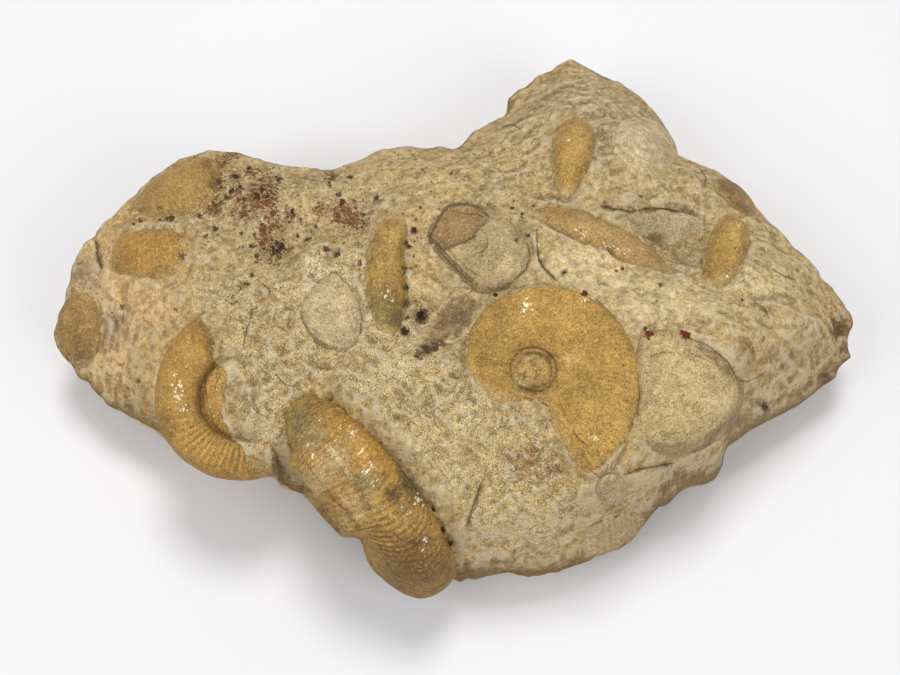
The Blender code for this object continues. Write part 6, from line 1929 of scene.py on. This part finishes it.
    # rust: ragged specks, thick in the clusters and thin over the stained shelf
    blotch = g.noise(g.vector("ADD", g.mm, (5.0, 15.0, 25.0)), 1.05, 5.0, 0.72, 0.8)
    speck = g.noise(g.vector("ADD", g.mm, (25.0, 5.0, 45.0)), 1.5, 4.0, 0.70, 0.5)
    loose = g.math("MULTIPLY", g.span(speck, 0.58, 0.63), stain)
    colour = g.mix(g.math("MULTIPLY", loose, 0.80), colour, g.mix(g.span(fine, 0.4, 0.6), tint(52, 36, 26), tint(112, 76, 44)))
    reach = g.math("ADD", g.attribute("rust"), g.span(blotch, 0.30, 0.70, -0.46, 0.46))
    spot = g.math("MULTIPLY", g.span(reach, 0.58, 0.74), g.span(g.attribute("rust"), 0.22, 0.46))
    inner = g.mix(g.span(blotch, 0.46, 0.62), tint(146, 92, 44), tint(74, 46, 26))
    colour = g.mix(g.math("MULTIPLY", spot, 0.90), colour, inner)
    edgework = g.math("ADD", g.span(fine, 0.2, 0.8, -0.18, 0.18), g.span(blotch, 0.3, 0.7, -0.26, 0.26))
    spot = g.span(g.math("ADD", g.attribute("black"), edgework), 0.50, 0.62)
    colour = g.mix(g.math("MULTIPLY", spot, 0.90), colour, tint(60, 38, 20))
    edgework = g.span(fine, 0.2, 0.8, -0.16, 0.16)
    spot = g.span(g.math("ADD", g.attribute("wine"), edgework), 0.46, 0.54)
    colour = g.mix(g.math("MULTIPLY", spot, 0.95), colour, tint(112, 14, 12))
    # hair cracks, and painted shade lines in the gaps round the fossils
    crack_and_shade_line = crack_and_shade_line_mask(g, middle)
    colour = g.mix(g.math("MULTIPLY", crack_and_shade_line, 0.66), colour, tint(80, 61, 38))
    relief = g.math("ADD", g.math("MULTIPLY", middle, 1.0), g.math("MULTIPLY", fine, 0.8))
    relief = g.math("SUBTRACT", relief, g.math("MULTIPLY", grain, 0.8))
    relief = g.math("ADD", relief, g.math("MULTIPLY", g.math("MAXIMUM", marks, crest), 0.30))
    relief = g.math("SUBTRACT", relief, g.math("MULTIPLY", g.math("MAXIMUM", dot, crack_and_shade_line), 0.5))
    return g.finish(colour, g.span(middle, 0.3, 0.7, 0.82, 0.95), relief, 0.80, 1.0)


def fossil(name, grime, dust, gloss, relief_mm=0.30, grain=0.12):
    """A mould's skin: its own tint, growth lines, dark grime, limestone dust, and pale chips with painted glints."""
    g = Graph(name)
    base = g.attribute("tint", True)
    line = g.attribute("line")
    broad = g.noise(g.mm, 0.22, 5.0, 0.6, 0.5)
    middle = g.noise(g.mm, 1.1, 5.0, 0.62)
    fine = g.noise(g.mm, 4.5, 3.0, 0.6)
    patch = g.noise(g.vector("ADD", g.mm, (13.0, 21.0, 5.0)), 0.50, 4.0, 0.60, 0.6)
    tone = g.math("ADD", g.span(broad, 0.30, 0.70, -0.10, 0.10), g.span(middle, 0.32, 0.68, -grain, grain))
    tone = g.math("ADD", tone, g.span(fine, 0.36, 0.64, -0.46, 0.42))
    tone = g.math("ADD", tone, g.span(patch, 0.32, 0.68, -0.14, 0.13))
    tone = g.math("ADD", tone, g.math("MULTIPLY", line, 0.07))
    colour = g.gain(base, g.math("ADD", tone, 1.0))
    grain_at = g.noise(g.vector("ADD", g.mm, (1.0, 2.0, 7.0)), 1.7, 4.0, 0.74, 1.0)
    colour = g.mix(g.span(grain_at, 0.54, 0.65, 0.0, 0.50), colour, tint(96, 72, 38))
    colour = g.mix(g.span(grain_at, 0.44, 0.34, 0.0, 0.46), colour, tint(232, 198, 132))
    smut = g.noise(g.vector("ADD", g.mm, (21.0, 3.0, 13.0)), 0.55, 6.0, 0.7, 0.7)
    colour = g.mix(g.span(smut, 0.56, 0.74, 0.0, grime), colour, tint(92, 70, 42))
    chalk = g.noise(g.vector("ADD", g.mm, (3.0, 33.0, 5.0)), 0.8, 5.0, 0.68, 0.8)
    colour = g.mix(g.span(chalk, 0.60, 0.72, 0.0, dust), colour, tint(216, 196, 152))
    pits = g.cells(g.vector("ADD", g.mm, (7.0, 2.0, 1.0)), 1.0)
    kept = g.separate(pits.outputs["Color"])
    pit = g.math("MULTIPLY", g.span(pits.outputs["Distance"], 0.22, 0.12), g.span(kept[0], 0.76, 0.80))
    colour = g.mix(g.math("MULTIPLY", pit, 0.6), colour, tint(70, 52, 34))
    crack_and_shade_line = crack_and_shade_line_mask(g, middle)
    colour = g.mix(g.math("MULTIPLY", crack_and_shade_line, 0.62), colour, tint(76, 54, 32))
    edgework = g.span(grain_at, 0.3, 0.7, -0.30, 0.30)
    spot = g.span(g.math("ADD", g.attribute("black"), edgework), 0.50, 0.64)
    colour = g.mix(g.math("MULTIPLY", spot, 0.85), colour, tint(60, 44, 30))
    spot = g.span(g.math("ADD", g.attribute("wine"), edgework), 0.46, 0.54)
    colour = g.mix(g.math("MULTIPLY", spot, 0.92), colour, tint(84, 20, 18))
    # pale chips, and painted glints
    spot = g.span(g.math("ADD", g.attribute("chip_and_glint"), edgework), 0.50, 0.70)
    colour = g.mix(g.math("MULTIPLY", spot, 0.80), colour, tint(240, 228, 198))
    relief = g.math("ADD", g.math("MULTIPLY", middle, 0.8), g.math("MULTIPLY", fine, 0.45))
    relief = g.math("SUBTRACT", relief, g.math("MULTIPLY", pit, 0.4))
    return g.finish(colour, g.span(middle, 0.3, 0.7, gloss - 0.06, gloss + 0.10), relief, relief_mm, 1.0)


# ------------------------------------------------------------------ making the pieces
def keep_in_block(verts, rim_ring, rim_z, skip=None):
    """Pulls the buried part of a fossil back under the block's wall."""
    rel = verts[:, :2] - CENTRE
    bearing = np.arctan2(rel[:, 1], rel[:, 0])
    at = np.arctan2(rim_ring[:, 1] - CENTRE[1], rim_ring[:, 0] - CENTRE[0])
    order = np.argsort(at)
    b = np.concatenate([at[order][-2:] - 2 * math.pi, at[order], at[order][:2] + 2 * math.pi])
    far = np.hypot(*(rim_ring - CENTRE).T)[order]
    far = np.concatenate([far[-2:], far, far[:2]])
    up = np.concatenate([rim_z[order][-2:], rim_z[order], rim_z[order][:2]])
    reach, top = np.interp(bearing, b, far), np.interp(bearing, b, up)
    foot = FOOT + 0.05 * np.sin(2 * bearing + 0.8) + 0.03 * np.sin(5 * bearing)
    w = np.clip(verts[:, 2] / top, 0, 1)
    limit = (1 - (1 - foot) * (1 - w) ** 1.4) * reach - np.where(w < 1, 2.6, 1.0)
    r = np.hypot(*rel.T)
    out = (r > limit) & (verts[:, 2] < top + 1.0)
    shrink = np.where(out, limit / np.maximum(r, 1e-6), 1.0)
    moved = verts.copy()
    moved[:, :2] = CENTRE + rel * shrink[:, None]
    return moved


coils = {name: coil_surface(name, spec) for name, spec in COILS.items()}
block_verts, block_faces, block_data = build_block(coils)
rim_line = outline_points()

tints, dots, stain, black, rust = paint_block(block_verts, block_data)
crack_and_shade_line, crack_and_shade_line_here = traced(seen_at(block_verts), CRACK_AND_SHADE_LINES)
crack_and_shade_line_here[block_data["top"]:] = 0
block = put_mesh("matrix_block_look", block_verts, block_faces, {
    "crack_and_shade_line": crack_and_shade_line, "crack_and_shade_line_here": crack_and_shade_line_here,
    "tint": tints, "dots": dots, "stain": stain, "black": black, "rust": rust, "wine": block_data["wine"], "hollow": block_data["hollow"],
    "crevice": block_data["crevice"], "tooled": block_data["tooled"],
})
block.data.materials.append(limestone("limestone"))
pieces = {"matrix_block": block}

for name, (verts, faces, data) in coils.items():
    if name != "ammonite_standing":
        verts = keep_in_block(verts, rim_line[:, :2], rim_line[:, 2])
    uv = seen_at(verts)
    crack_and_shade_line, crack_and_shade_line_here = traced(uv, HAIRS)
    obj = put_mesh(name + "_look", verts, faces, {
        "crack_and_shade_line": crack_and_shade_line, "crack_and_shade_line_here": crack_and_shade_line_here,
        "tint": paint_coil(name, verts, data), "line": data["line"],
        "chip_and_glint": spotted(uv, verts, scattered(CHIPS_AND_GLINTS)), "wine": spotted(uv, verts, WINE_SPOTS),
        "black": spotted(uv, verts, BLACK_SPOTS),
    })
    grime = {"ammonite_flat": 0.22, "ammonite_ribbed": 0.45, "ammonite_standing": 0.62}[name]
    dust = {"ammonite_flat": 0.22, "ammonite_ribbed": 0.40, "ammonite_standing": 0.40}[name]
    grain = 0.21 if name == "ammonite_standing" else 0.13
    obj.data.materials.append(fossil(name + "_skin", grime, dust, 0.62, grain=grain))
    pieces[name] = obj

for name, spec in SHELLS.items():
    verts, faces, data = shell_surface(name, spec)
    verts = keep_in_block(verts, rim_line[:, :2], rim_line[:, 2])
    uv = seen_at(verts)
    crack_and_shade_line, crack_and_shade_line_here = traced(uv, HAIRS)
    obj = put_mesh(name + "_look", verts, faces, {
        "crack_and_shade_line": crack_and_shade_line, "crack_and_shade_line_here": crack_and_shade_line_here,
        "tint": paint_shell(name, verts, data), "line": data["line"],
        "chip_and_glint": spotted(uv, verts, scattered(CHIPS_AND_GLINTS)), "wine": spotted(uv, verts, WINE_SPOTS),
        "black": spotted(uv, verts, BLACK_SPOTS),
    })
    gold = name.startswith("ammonite")
    obj.data.materials.append(
        fossil(name + "_skin", 0.35 if gold else 0.25, 0.30 if gold else 0.45, 0.62 if gold else 0.74)
    )
    pieces[name] = obj

for node, piece in pieces.items():
    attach(piece, "root")
    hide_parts(node)

# ------------------------------------------------------------------ floor, light and camera
floor_mesh = bpy.data.meshes.new("table")
reach = 3.0
floor_mesh.from_pydata(
    [(-reach, -reach, -0.0004), (reach, -reach, -0.0004), (reach, reach, -0.0004), (-reach, reach, -0.0004)],
    [], [(0, 1, 2, 3)],
)
floor = bpy.data.objects.new("table", floor_mesh)
bpy.context.scene.collection.objects.link(floor)
table = bpy.data.materials.new("table_white")
table.use_nodes = True
table.node_tree.nodes["Principled BSDF"].inputs["Base Color"].default_value = (0.635, 0.63, 0.64, 1)
table.node_tree.nodes["Principled BSDF"].inputs["Roughness"].default_value = 0.6
floor_mesh.materials.append(table)

world = bpy.data.worlds.new("studio")
bpy.context.scene.world = world
world.use_nodes = True
world.node_tree.nodes["Background"].inputs["Color"].default_value = (0.97, 0.98, 1.0, 1)
world.node_tree.nodes["Background"].inputs["Strength"].default_value = 0.46


def lamp(name, place, aim, size, power, colour=(1, 1, 1)):
    data = bpy.data.lights.new(name, "AREA")
    data.shape = "DISK"
    data.size = size
    data.energy = power
    data.color = colour
    obj = bpy.data.objects.new(name, data)
    obj.location = place
    obj.rotation_euler = (Vector(aim) - Vector(place)).to_track_quat("-Z", "Y").to_euler()
    bpy.context.scene.collection.objects.link(obj)


lamp("key", (0.02, 0.36, 0.86), (0, 0, 0.02), 0.32, 5.4, (1.0, 0.99, 0.97))
lamp("fill_left", (-0.54, -0.26, 0.62), (0, 0, 0.02), 0.50, 2.7, (0.99, 0.99, 1.0))
lamp("fill_right", (0.50, -0.46, 0.56), (0, 0, 0.02), 0.50, 3.0, (0.99, 0.99, 1.0))

camera_data = bpy.data.cameras.new("camera")
camera = bpy.data.objects.new("camera", camera_data)
bpy.context.scene.collection.objects.link(camera)
look = Vector(tuple(FORWARD))
target = Vector(VIEW_TARGET) - Vector((*ORIGIN_SHIFT, 0))
camera.location = target - VIEW_DISTANCE * look
camera.rotation_euler = look.to_track_quat("-Z", "Y").to_euler()
camera_data.sensor_width = 36.0
camera_data.lens = 36.0 * VIEW_FOCAL / 900
camera_data.clip_start = 0.01
camera_data.clip_end = 20
bpy.context.scene.camera = camera
bpy.context.scene.view_settings.view_transform = "Standard"
